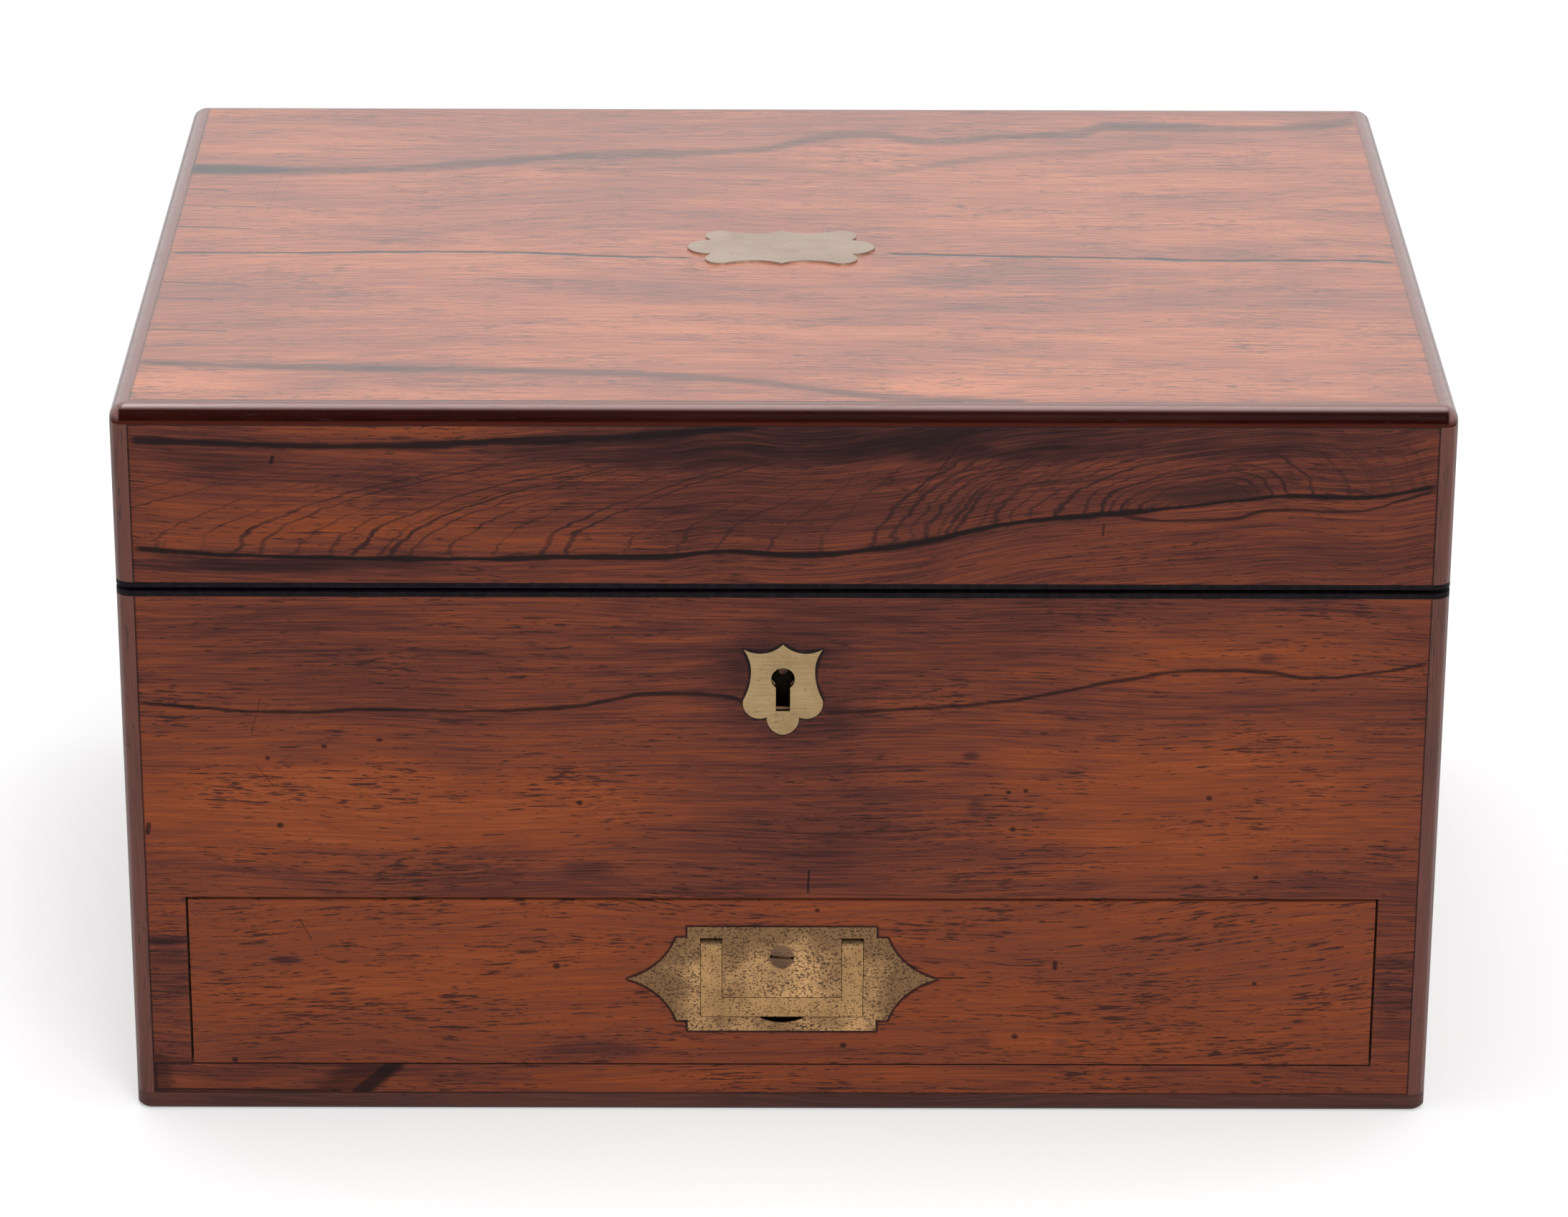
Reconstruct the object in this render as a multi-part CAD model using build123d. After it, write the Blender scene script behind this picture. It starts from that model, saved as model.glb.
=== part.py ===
from build123d import *
from math import atan2, degrees
import os

# Antique fitted dressing box: a veneered case with a hinged lid, a full-width
# drawer below the fitted compartment, and flush brass fittings.
# Sizes are in millimetres. The front faces -Y, the base rests on Z = 0, and the
# origin is the middle of the footprint, hinge knuckles included.

# ---------------------------------------------------------------- woodwork
width = 305.0             # case and lid, left to right
depth = 220.0             # case and lid, front face to back face
height = 177.6            # base to the top of the lid
joint_height = 133.2      # middle of the gap between lid and case
lid_gap = 1.0             # open line between the two black lips
lip = 1.25                # thickness of the black lips
wall = 9.0                # carcass board with its veneer
veneer = 0.9
edging = 4.2              # section of the solid edge mouldings
edging_round = 3.7        # round on the outside of the edge mouldings
foot_ease = 0.8           # eased edge round the base
bottom_thickness = 6.2
floor_thickness = 5.0     # compartment floor, over the drawer
baize = 0.8
lining = 1.0              # paper lining of the compartment

# ---------------------------------------------------------------- drawer
sill_height = 11.9        # top of the rail under the drawer
stile = 13.4              # face of the case beside the drawer
drawer_height = 42.6
drawer_back_gap = 7.0     # drawer's back to the back board
drawer_side_gap = 0.5
drawer_low_gap = 0.3
drawer_high_gap = 0.7
drawer_front = 10.0       # thickness with its veneer
drawer_side = 6.0
drawer_back = 5.0
drawer_side_height = 37.0
drawer_bottom = 3.0
drawer_bottom_rise = 2.4  # lower edge of the side to the bottom panel
groove = 2.5              # how far the bottom panel enters the sides
drawer_velvet = 1.2
velvet_below_rim = 4.0
divider = 3.0
divider_height = 22.0
runner_width = 9.0

# ---------------------------------------------------------------- drawer handle
handle_height = 34.4      # middle of the plate above the base
plate_depth = 6.0
plate_half = 22.1         # middle block, half width
plate_rise = 13.5         # middle block, half height
plate_step = 2.6          # width of the notch beside the block
plate_shoulder = 10.7     # half height where the points start
plate_tip = 36.2          # half width over the two points
plate_hollow = 28.4       # deepest place of the hollow flank, from the middle
plate_hollow_rise = 4.7
bail_half = 19.0          # outside of the bail, half width
bail_section = 4.9        # width of its legs and bar
bail_thickness = 2.4
bail_drop = 17.9          # pivot to the lower edge
bail_knuckle = 2.4        # radius of the knuckle at the top of each leg
bail_pivot_rise = 8.1     # pivot above the middle of the plate
bail_gap = 0.15
bail_well = 3.4           # depth of the sinking under the bail
bail_pin = 1.0            # radius of the pivot pins
pin_reach = 1.6           # how far a pin enters the plate each side
notch_chord = 11.0        # finger notch under the bar
notch_drop = 1.4
notch_depth = 2.2
screw_rise = 5.7          # plate screw above the middle of the plate
screw_head = 2.86
screw_shank = 1.4
screw_cone = 2.0
screw_length = 9.2
screw_slot = 0.7
screw_slot_depth = 0.8
screw_slot_turn = 4.0     # degrees off level
screw_gap = 0.05
running_gap = 0.05        # pin in a hole

# ---------------------------------------------------------------- keyhole and lock
key_height = 111.2        # centre of the round of the keyhole
key_round = 2.73
key_slot = 3.3
key_drop = 8.05           # centre of the round to the foot of the slot
key_gap = 0.15            # keyhole in the wood, wider than in the brass
shield = 1.2              # thickness of the escutcheon
shield_half = 9.1         # half width at the horns and at the lobes
shield_peak = 8.6         # centre of the keyhole to the top point
shield_foot = 14.0        # centre of the keyhole to the foot of the middle lobe
shield_arcs = (           # shares of the half width, and of the height above the foot
    ((0, 1), (0.43, 0.905), (1, 0.947)),
    ((1, 0.947), (0.85, 0.826), (0.808, 0.68)),
    ((0.808, 0.68), (0.86, 0.535), (1, 0.389)),
    ((1, 0.389), (0.84, 0.212), (0.407, 0.195)),
    ((0.407, 0.195), (0.297, 0.062), (0, 0)),
)
lock_half = 28.0          # half width of back plate and top plate
lock_foot = 12.5          # centre of the keyhole to the foot of the back plate
lock_body_half = 22.0
lock_body_foot = 10.5     # centre of the keyhole to the foot of the lock body
lock_screw_drop = 8.0     # rim of the case to the upper screws
lock_screw_foot = 5.0     # foot of the back plate to the lower screws
link_screw_edge = 5.0     # ends of the link plate to its screws
lock_plate = 1.2
lock_cap = 1.0
lock_depth = 6.0
lock_edge = 1.2           # thickness of the sides of the lock body
staple_place = 12.0       # middle of each staple from the middle of the box
staple_thick = 1.8
staple_width = 3.0
staple_round = 1.2        # round on its lower corners
staple_drop = 9.0
staple_eye = 3.4          # height of the eye
staple_eye_width = 1.8
staple_foot = 1.4         # brass below the eye
staple_gap = 0.5
bolt_gap = 0.2
bolt_spine = 2.6
bolt_finger = 6.0
bolt_post = 1.8
drill_pin = 1.1
drill_pin_back = 3.6      # front face of the box to the end of the pin
drill_pin_rise = 0.8
small_screw_head = 1.75
small_screw_shank = 0.85
small_screw_rim = 0.05    # upright edge of the head
small_screw_cone = 0.9
small_screw_length = 5.2
screw_flats = 8           # the small screws are drawn with flats round them

# ---------------------------------------------------------------- hinges
hinge_place = 88.0        # middle of each hinge from the middle of the box
hinge_length = 38.0
knuckle = 1.95
knuckle_gap = 0.15
knuckle_count = 3
hinge_pin = 0.9
pin_flats = 8             # flats round the hole for a hinge pin
hinge_relief = 0.25       # clearance cut in the wood round a knuckle
hinge_screw_pitch = 13.0

# ---------------------------------------------------------------- plaque on the lid
plaque = 1.1
plaque_proud = 0.5
plaque_half = 22.7        # half width over the round ends
plaque_rise = 11.8        # half height at the peaks and over the lobes
plaque_arcs = (           # shares of the half width and of the half height
    ((0, 1), (0.12, 0.87), (0.29, 0.82)),
    ((0.29, 0.82), (0.45, 0.87), (0.59, 0.98)),
    ((0.59, 0.98), (0.78, 0.86), (0.79, 0.54)),
    ((0.79, 0.54), (0.768, 0.48), (0.755, 0.42)),
    ((0.755, 0.42), (0.92, 0.29), (1, 0)),
)
plaque_forward = 1.6      # middle of the plaque, in front of the middle of the lid
plaque_left = 0.4

# ---------------------------------------------------------------- lid fittings
mirror_border = 15.0      # lid wall to the mirror frame
mirror_thickness = 7.0
mirror_frame_width = 10.0
mirror_glass = 3.0
mirror_rebate = 4.0
mirror_front = 2.2        # frame in front of the glass
mirror_chamfer = 1.6
pad_thickness = 6.3
soft_gap = 0.3
catch_nose = 11.5         # catch screw to the end over the mirror frame
catch_tail = 6.0
catch_width = 7.0
catch_thickness = 1.2
catch_screw = 1.4
catch_head = 3.0
catch_head_height = 1.0
catch_from_edge = 8.0     # catch screw from the lid wall

# ---------------------------------------------------------------- tray and jars
tray_gap = 0.6
tray_height = 66.0
tray_wall = 3.0
tray_floor = 3.0
bay = 64.0                # width of the bays at both ends
back_well = 62.0          # depth of the long jar's well
well_velvet = 1.2
velvet_edge = 2.0         # rim of the well to the velvet's top
rest_gap = 0.3
jar_gap = 0.6
jar_height = 55.0         # foot to shoulder
jar_wall = 2.6
jar_corner = 5.0          # flats across the upright edges
neck_inset = 3.2
neck_height = 8.0
cap_wall = 1.2
cap_fit = 0.3
cap_crown = 5.0
cap_rim = 1.0             # upright edge of a round cap above its skirt
cap_slope = 8.5           # width of the sloped border of a crown
cap_knob = 7.0            # radius of the flat on a round crown
flask_neck = 23.0         # outer radius of the round necks
neck_flats = 32           # the round necks and caps are drawn with flats round them

# ---------------------------------------------------------------- places
x_out = width / 2
x_in = x_out - wall
y_front = -(depth + knuckle) / 2
y_back = y_front + depth
y_middle = (y_front + y_back) / 2
y_front_in = y_front + wall
y_back_in = y_back - wall
drawer_length = depth - wall - drawer_back_gap
case_top = joint_height - lid_gap / 2
lid_low = joint_height + lid_gap / 2
rim = case_top - lip
lid_rim = lid_low + lip
ceiling = height - wall
bottom_top = baize + bottom_thickness
lock_low = key_height - lock_foot
opening_half = x_out - stile
drawer_half = opening_half - drawer_side_gap
drawer_low = sill_height + drawer_low_gap
drawer_high = drawer_low + drawer_height
floor_low = drawer_high + drawer_high_gap
floor_top = floor_low + floor_thickness
drawer_inner_low = drawer_low + drawer_bottom_rise + drawer_bottom
drawer_rim = drawer_low + drawer_side_height
tray_low = floor_top + lining + rest_gap
tray_top = tray_low + tray_height
tray_half = x_in - lining - tray_gap
tray_front = y_front_in + lining + tray_gap
tray_back = y_back_in - lining - tray_gap
jar_low = tray_low + tray_floor + rest_gap
SIDES = (-1, 1)


# ---------------------------------------------------------------- helpers
def block(x, y, z):
    """A box between the two limits given along each axis."""
    size = (x[1] - x[0], y[1] - y[0], z[1] - z[0])
    middle = (sum(x) / 2, sum(y) / 2, sum(z) / 2)
    return Pos(*middle) * Box(*size)


def mirrored(side, near, far):
    """Limits along X of a piece on the left (-1) or right (1)."""
    return tuple(sorted((side * near, side * far)))


def along_x(radius, x, y, z):
    """A rod along X between two limits, round the line at y, z."""
    rod = Cylinder(radius, x[1] - x[0])
    return Pos(sum(x) / 2, y, z) * Rot(0, 90, 0) * rod


def along_y(radius, x, y, z):
    """A rod along Y between two limits, round the line at x, z."""
    rod = Cylinder(radius, y[1] - y[0])
    return Pos(x, sum(y) / 2, z) * Rot(90, 0, 0) * rod


def into_front(outline, y):
    """A front outline drawn in X and Z, made solid between two limits along Y."""
    face = Plane.XZ * outline
    return Pos(0, y[1], 0) * extrude(face, y[1] - y[0])


def turned(*profile):
    """A piece turned round Z from a closed profile of radius and height."""
    face = make_face(Polyline(*[(r, 0, z) for r, z in profile], close=True))
    return revolve(face, Axis.Z)


def raised(face, rise, inset=0.0):
    """A face carried up; its sides lean in by the inset, or out by a negative one."""
    return extrude(face, rise, dir=(0, 0, 1), taper=degrees(atan2(inset, rise)))


def flats(radius, count, z):
    """A disc with straight flats for its edge; they touch the circle of that radius."""
    return Pos(0, 0, z) * RegularPolygon(radius, count, major_radius=False)


def small_screw(grow=0.0):
    """A small countersunk screw with its head up at the origin, or its hole."""
    under = small_screw_rim + small_screw_cone
    head = raised(flats(small_screw_head + grow, screw_flats, -under), under)
    head = chamfer(head.faces().sort_by(Axis.Z)[0].edges(), small_screw_cone)
    foot = -small_screw_length - grow
    return head + raised(flats(small_screw_shank + grow, screw_flats, foot), -foot - under)


def save(name, *shapes):
    """Write the solids of one named piece, or of a set of like pieces."""
    solids = [solid for shape in shapes for solid in shape.solids()]
    shape = solids[0] if len(solids) == 1 else Compound(children=solids)
    export_step(shape, f"parts/{name}.step")


def cut(shape, *tools):
    """The shape with every tool taken away."""
    for tool in tools:
        shape = shape - tool
    return shape


# ---------------------------------------------------------------- edge mouldings
def corner_cells(z):
    """The square of each upright edge moulding."""
    cells = []
    for side in SIDES:
        x = mirrored(side, x_out - edging, x_out)
        cells.append(block(x, (y_front, y_front + edging), z))
        cells.append(block(x, (y_back - edging, y_back), z))
    return cells


def ring_cells(z):
    """The square of each level edge moulding: long ones run through."""
    cells = [
        block((-x_out, x_out), (y_front, y_front + edging), z),
        block((-x_out, x_out), (y_back - edging, y_back), z),
    ]
    for side in SIDES:
        x = mirrored(side, x_out - edging, x_out)
        cells.append(block(x, (y_front + edging, y_back - edging), z))
    return cells


def case_form():
    """The outside of the case, with its edges rounded over."""
    form = block((-x_out, x_out), (y_front, y_back), (0, case_top))
    form = fillet(form.edges().filter_by(Axis.Z), edging_round)
    return chamfer(form.faces().sort_by(Axis.Z)[0].edges(), foot_ease)


def lid_form():
    """The outside of the lid, rounded at its top and corners."""
    form = block((-x_out, x_out), (y_front, y_back), (lid_low, height))
    upright = form.edges().filter_by(Axis.Z)
    top = form.faces().sort_by(Axis.Z)[-1].edges()
    return fillet(upright + top, edging_round)


def lip_strips(form, z):
    """Four mitred strips round the joint, cut to the outside form."""
    outer = [(-x_out, y_front), (x_out, y_front), (x_out, y_back), (-x_out, y_back)]
    inner = [(-x_in, y_front_in), (x_in, y_front_in), (x_in, y_back_in), (-x_in, y_back_in)]
    strips = []
    for here in range(4):
        there = (here + 1) % 4
        corners = [outer[here], outer[there], inner[there], inner[here]]
        face = make_face(Polyline(*corners, close=True))
        strip = Pos(0, 0, z[0]) * extrude(face, z[1] - z[0], dir=(0, 0, 1))
        strips.append(form & strip)
    return strips


# ---------------------------------------------------------------- brass outlines
def mirror_outline(half):
    """Close a half outline, drawn on the right, about the middle line."""
    return make_face(half + mirror(half, about=Plane.YZ))


def bent(arcs, across, up):
    """Arcs drawn through three points each; the points are shares of two lengths."""
    return Curve() + [ThreePointArc(*[(a * across, b * up) for a, b in arc]) for arc in arcs]


def shield_outline():
    """The shield of the escutcheon, with horns, waist and three lobes."""
    half = bent(shield_arcs, shield_half, shield_peak + shield_foot)
    return Pos(0, key_height - shield_foot) * mirror_outline(half)


def keyhole(grow=0.0):
    """The keyhole: a round above a straight slot."""
    foot = key_height - key_drop - grow
    slot = Rectangle(key_slot + 2 * grow, key_height - foot)
    return Pos(0, key_height) * Circle(key_round + grow) + Pos(0, (key_height + foot) / 2) * slot


def handle_outline():
    """The handle plate: a block with notched corners and two hollow points."""
    middle = handle_height
    upper = Curve() + [
        Line((0, middle + plate_rise), (plate_half, middle + plate_rise)),
        Line((plate_half, middle + plate_rise), (plate_half, middle + plate_shoulder)),
        Line(
            (plate_half, middle + plate_shoulder),
            (plate_half + plate_step, middle + plate_shoulder),
        ),
        ThreePointArc(
            (plate_half + plate_step, middle + plate_shoulder),
            (plate_hollow, middle + plate_hollow_rise),
            (plate_tip, middle),
        ),
    ]
    lower = mirror(upper, about=Plane(origin=(0, middle, 0), z_dir=(0, 1, 0)))
    half = upper + lower
    return mirror_outline(half)


def plaque_outline():
    """The lid plaque: four corner lobes, round ends and a peak on each side."""
    upper = bent(plaque_arcs, plaque_half, plaque_rise)
    lower = mirror(upper, about=Plane.XZ)
    return mirror_outline(upper + lower)


# ---------------------------------------------------------------- hinges
def pin_hole(x):
    """The hole for a hinge pin, with flats round it."""
    hole = raised(flats(hinge_pin + running_gap, pin_flats, 0), x[1] - x[0])
    return Pos(x[0], 0, 0) * Rot(0, 90, 0) * hole


def knuckles(owner):
    """The knuckles of one leaf, at the origin along X; the case owns the odd ones."""
    pitch = hinge_length / knuckle_count
    pieces = []
    for index in range(knuckle_count):
        if index % 2 != owner:
            continue
        start = -hinge_length / 2 + index * pitch
        span = (start + knuckle_gap / 2, start + pitch - knuckle_gap / 2)
        pieces.append((span, along_x(knuckle, span, 0, 0) - pin_hole(span)))
    return pieces


def hinge_leaf(owner, z):
    """One leaf with its knuckles; its plate lies between the two Z limits."""
    clear = knuckle + hinge_relief
    plate = block((-hinge_length / 2, hinge_length / 2), (-wall, -clear), z)
    for span, barrel in knuckles(owner):
        tab = block(span, (-clear, 0), z) - pin_hole(span)
        plate = plate + tab + barrel
    return plate


def hinge_places(shape):
    """Both copies of a hinge piece, moved to the pivot line."""
    return [Pos(side * hinge_place, y_back, joint_height) * shape for side in SIDES]


def hinge_screw_spots():
    """Middle of each screw of both hinges, in X and Y."""
    y = y_back - (wall + knuckle) / 2
    return [
        (side * hinge_place + step * hinge_screw_pitch, y)
        for side in SIDES
        for step in (-1, 0, 1)
    ]


def hinge_reliefs():
    """Square notches for the knuckles, cut from the wood of case and lid."""
    half = hinge_length / 2 + knuckle_gap
    reach = knuckle + hinge_relief
    return hinge_places(block((-half, half), (-reach, reach), (-reach, reach)))


def leaf_sinkings(z):
    """Room for the hinge leaves in a lip."""
    half = hinge_length / 2
    spots = []
    for side in SIDES:
        x = (side * hinge_place - half, side * hinge_place + half)
        spots.append(block(x, (y_back_in, y_back), z))
    return spots


def small_screws(spots, z, turn, grow=0.0):
    """Small screws at X and Y spots; turn 0 drives them down, 180 drives them up."""
    body = small_screw(grow)
    return [Pos(x, y, z) * Rot(turn, 0, 0) * body for x, y in spots]


# ---------------------------------------------------------------- lock
def lock_screw_spots():
    """Corners of the lock's back plate, in X and Z."""
    side = (lock_half + lock_body_half) / 2
    levels = (case_top - lock_screw_drop, lock_low + lock_screw_foot)
    return [(x, z) for x in (-side, side) for z in levels]


def lock_screws(grow=0.0):
    """Four screws driven forward through the back plate."""
    body = Rot(-90, 0, 0) * small_screw(grow)
    return [Pos(x, y_front_in, z) * body for x, z in lock_screw_spots()]


def lock_body_solid():
    """The space that the lock takes in the front board."""
    plate = block(
        (-lock_half, lock_half),
        (y_front_in - lock_plate, y_front_in),
        (lock_low, rim),
    )
    body = block(
        (-lock_body_half, lock_body_half),
        (y_front_in - lock_depth, y_front_in),
        (key_height - lock_body_foot, rim),
    )
    return plate + body


def lock_top_plate(z):
    """The plate in a lip, over the lock in the case or in the lid."""
    return block((-lock_half, lock_half), (y_front_in - lock_depth, y_front_in), z)


def lock_cavity():
    """The hollow inside the lock body."""
    half = lock_body_half - lock_edge
    return block(
        (-half, half),
        (y_front_in - lock_depth + lock_cap, y_front_in - lock_plate),
        (key_height - lock_body_foot + lock_edge, rim),
    )


cavity_middle = (2 * y_front_in - lock_depth + lock_cap - lock_plate) / 2
eye_low = lid_low - staple_drop + staple_foot


def lock_case():
    """Lock body with back plate and top plate; two slots take the staples."""
    case = lock_body_solid() + lock_top_plate((rim, case_top))
    case = case - lock_cavity()
    for side in SIDES:
        x = side * staple_place
        slot_x = (x - staple_thick / 2 - staple_gap, x + staple_thick / 2 + staple_gap)
        reach = staple_width / 2 + staple_gap / 2
        slot_y = (cavity_middle - reach, cavity_middle + reach)
        case = case - block(slot_x, slot_y, (rim, case_top))
    front = (y_front_in - lock_depth, y_front_in - lock_depth + lock_cap)
    case = case - into_front(keyhole(key_gap), front)
    return cut(case, *lock_screws(screw_gap))


def lock_bolt():
    """The sliding bolt: a spine below the staples with two raised fingers."""
    depth_limits = (
        y_front_in - lock_depth + lock_cap + bolt_gap,
        y_front_in - lock_plate - bolt_gap,
    )
    finger_y = (
        cavity_middle - staple_eye_width / 2 + bolt_gap,
        cavity_middle + staple_eye_width / 2 - bolt_gap,
    )
    spine_top = lid_low - staple_drop - 2 * bolt_gap
    finger_z = (eye_low + 2 * bolt_gap, eye_low + staple_eye - 2 * bolt_gap)
    right_tip = staple_place - staple_thick / 2 - 2 * bolt_gap
    left_tip = right_tip - 2 * staple_place
    spine_x = (left_tip - bolt_finger, right_tip)
    bolt = block(spine_x, depth_limits, (spine_top - bolt_spine, spine_top))
    for tip in (left_tip, right_tip):
        post_x = (tip - bolt_finger, tip - bolt_finger + bolt_post)
        bolt = bolt + block(post_x, finger_y, (spine_top, finger_z[1]))
        bolt = bolt + block((tip - bolt_finger, tip), finger_y, finger_z)
    return bolt


def link_plate():
    """The plate in the lid with the two eyed staples that drop into the lock."""
    plate = lock_top_plate((lid_low, lid_rim))
    for side in SIDES:
        x = side * staple_place
        reach = staple_width / 2
        staple = block(
            (x - staple_thick / 2, x + staple_thick / 2),
            (cavity_middle - reach, cavity_middle + reach),
            (lid_low - staple_drop, lid_low),
        )
        staple = fillet(staple.edges().filter_by(Axis.X).group_by(Axis.Z)[0], staple_round)
        eye = block(
            (x - staple_thick / 2, x + staple_thick / 2),
            (cavity_middle - staple_eye_width / 2, cavity_middle + staple_eye_width / 2),
            (eye_low, eye_low + staple_eye),
        )
        plate = plate + (staple - eye)
    return cut(plate, *link_screws(screw_gap))


def link_screws(grow=0.0):
    """Two screws driven up through the link plate."""
    spots = [(side * (lock_half - link_screw_edge), cavity_middle) for side in SIDES]
    return small_screws(spots, lid_low, 180, grow)


# ---------------------------------------------------------------- case
def case_core():
    """The whole of the case inside its veneer and edge mouldings."""
    core = block(
        (-x_out + veneer, x_out - veneer),
        (y_front + veneer, y_back - veneer),
        (baize, rim),
    )
    return cut(core, *corner_cells((0, rim)), *ring_cells((0, edging)))


def front_cuts():
    """Everything that is let into the front board: escutcheon, lock, keyhole."""
    return [
        into_front(shield_outline(), (y_front, y_front + shield)),
        into_front(keyhole(key_gap), (y_front, y_front_in - lock_depth)),
        lock_body_solid(),
        *lock_screws(screw_gap),
    ]


def build_case_wood():
    """Boards of the case, the drawer's runners and the floor between."""
    core = case_core()
    everywhere = (-x_out, x_out)
    front = (y_front, y_front_in)
    between = (y_front_in, y_back_in)
    save("case_front_board", cut(core & block(everywhere, front, (floor_low, rim)), *front_cuts()))
    frame = [core & block(everywhere, front, (0, sill_height))]
    for side in SIDES:
        x = mirrored(side, opening_half, x_out)
        frame.append(core & block(x, front, (sill_height, floor_low)))
    save("case_front_frame", *frame)
    ends = [core & block(mirrored(side, x_in, x_out), between, (0, rim)) for side in SIDES]
    save("case_side_boards", *ends)
    back = core & block(everywhere, (y_back_in, y_back), (0, rim))
    save("case_back_board", cut(back, *hinge_reliefs(), *hinge_screws_down(screw_gap)))
    inside = (-x_in, x_in)
    save("case_bottom_board", block(inside, between, (baize, bottom_top)))
    save("compartment_floor", block(inside, between, (floor_low, floor_top)))
    save("drawer_runners", *[runner(side) for side in SIDES])


def runner(side):
    """A runner under the drawer's edge with the guide strip beside it."""
    between = (y_front_in, y_back_in)
    guide = block(mirrored(side, opening_half, x_in), between, (bottom_top, floor_low))
    shelf_x = mirrored(side, opening_half - runner_width, opening_half)
    return guide + block(shelf_x, between, (bottom_top, sill_height))


def build_case_skin():
    """Veneers, edge mouldings, black lip, baize and paper lining of the case."""
    face = (y_front, y_front + veneer)
    field = x_out - edging
    upper = block((-field, field), face, (floor_low, rim))
    upper = cut(upper, into_front(shield_outline(), (y_front, y_front + shield)))
    sheets = [upper, block((-field, field), face, (edging, sill_height))]
    for side in SIDES:
        x = mirrored(side, opening_half, field)
        sheets.append(block(x, face, (sill_height, floor_low)))
    save("case_front_veneer", *sheets)
    between = (y_front + edging, y_back - edging)
    sides = [
        block(mirrored(side, x_out - veneer, x_out), between, (edging, rim)) for side in SIDES
    ]
    back = block((-field, field), (y_back - veneer, y_back), (edging, rim))
    save("case_side_veneers", *sides, cut(back, *hinge_reliefs()))
    form = case_form()
    save("case_corner_mouldings", *[form & cell for cell in corner_cells((edging, rim))])
    save("case_base_mouldings", *[form & cell for cell in ring_cells((0, edging))])
    strips = lip_strips(form, (rim, case_top))
    openings = [lock_top_plate((rim, case_top)), *leaf_sinkings((rim, case_top))]
    save("case_lip", *[cut(strip, *openings, *hinge_reliefs()) for strip in strips])
    save("base_baize", block((-field, field), between, (0, baize)))
    save("compartment_lining", compartment_lining())


def compartment_lining():
    """Paper on the walls and floor of the compartment, cut away at the lock."""
    outer = block((-x_in, x_in), (y_front_in, y_back_in), (floor_top, rim))
    inner = block(
        (-x_in + lining, x_in - lining),
        (y_front_in + lining, y_back_in - lining),
        (floor_top + lining, rim),
    )
    window = block(
        (-lock_half - soft_gap, lock_half + soft_gap),
        (y_front_in, y_front_in + lining),
        (lock_low - soft_gap, rim),
    )
    return outer - inner - window


def hinge_screws_down(grow=0.0):
    """Screws of the case leaves."""
    return small_screws(hinge_screw_spots(), case_top, 0, grow)


def hinge_screws_up(grow=0.0):
    """Screws of the lid leaves."""
    return small_screws(hinge_screw_spots(), lid_low, 180, grow)


def build_case_brass():
    """Escutcheon, lock and hinges on the case."""
    shield_solid = into_front(shield_outline(), (y_front, y_front + shield))
    save("escutcheon", shield_solid - into_front(keyhole(), (y_front, y_front + shield)))
    save("lock_case", lock_case())
    save("lock_screws", *lock_screws())
    pin_y = (y_front + drill_pin_back, y_front_in - lock_plate)
    save("lock_drill_pin", along_y(drill_pin, 0, pin_y, key_height + drill_pin_rise))
    save("lock_bolt", lock_bolt())
    lower = (-lid_gap / 2 - lip, -lid_gap / 2)
    case_leaves = hinge_places(hinge_leaf(0, lower))
    save("hinge_case_leaves", *[cut(leaf, *hinge_screws_down(screw_gap)) for leaf in case_leaves])
    save("hinge_case_screws", *hinge_screws_down())
    half = hinge_length / 2
    save("hinge_pins", *hinge_places(along_x(hinge_pin, (-half, half), 0, 0)))
    upper = (lid_gap / 2, lid_gap / 2 + lip)
    lid_leaves = hinge_places(hinge_leaf(1, upper))
    save("hinge_lid_leaves", *[cut(leaf, *hinge_screws_up(screw_gap)) for leaf in lid_leaves])
    save("hinge_lid_screws", *hinge_screws_up())
    save("lock_link_plate", link_plate())
    save("link_plate_screws", *link_screws())


# ---------------------------------------------------------------- lid
def build_lid_wood():
    """Boards, veneers, edge mouldings and black lip of the lid."""
    core = block(
        (-x_out + veneer, x_out - veneer),
        (y_front + veneer, y_back - veneer),
        (lid_rim, height - veneer),
    )
    core = cut(core, *corner_cells((lid_low, height)), *ring_cells((height - edging, height)))
    everywhere = (-x_out, x_out)
    field = x_out - edging
    save("lid_top_board", core & block(everywhere, (y_front, y_back), (ceiling, height)))
    walls = [
        core & block(everywhere, (y_front, y_front_in), (lid_rim, ceiling)),
        core & block(everywhere, (y_back_in, y_back), (lid_rim, ceiling)),
    ]
    for side in SIDES:
        x = mirrored(side, x_in, x_out)
        walls.append(core & block(x, (y_front_in, y_back_in), (lid_rim, ceiling)))
    bores = [*hinge_reliefs(), *hinge_screws_up(screw_gap), *link_screws(screw_gap)]
    save("lid_wall_boards", *[cut(board, *bores) for board in walls])
    between = (y_front + edging, y_back - edging)
    sheet = block((-field, field), between, (height - veneer, height))
    save("lid_top_veneer", sheet - plaque_solid())
    z = (lid_rim, height - edging)
    skins = [
        block((-field, field), (y_front, y_front + veneer), z),
        block((-field, field), (y_back - veneer, y_back), z),
    ]
    for side in SIDES:
        skins.append(block(mirrored(side, x_out - veneer, x_out), between, z))
    save("lid_wall_veneers", *[cut(skin, *hinge_reliefs()) for skin in skins])
    form = lid_form()
    save("lid_corner_mouldings", *[form & cell for cell in corner_cells(z)])
    save("lid_top_mouldings", *[form & cell for cell in ring_cells((height - edging, height))])
    strips = lip_strips(form, (lid_low, lid_rim))
    openings = [lock_top_plate((lid_low, lid_rim)), *leaf_sinkings((lid_low, lid_rim))]
    save("lid_lip", *[cut(strip, *openings, *hinge_reliefs()) for strip in strips])
    save("lid_plaque", plaque_solid())


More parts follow.
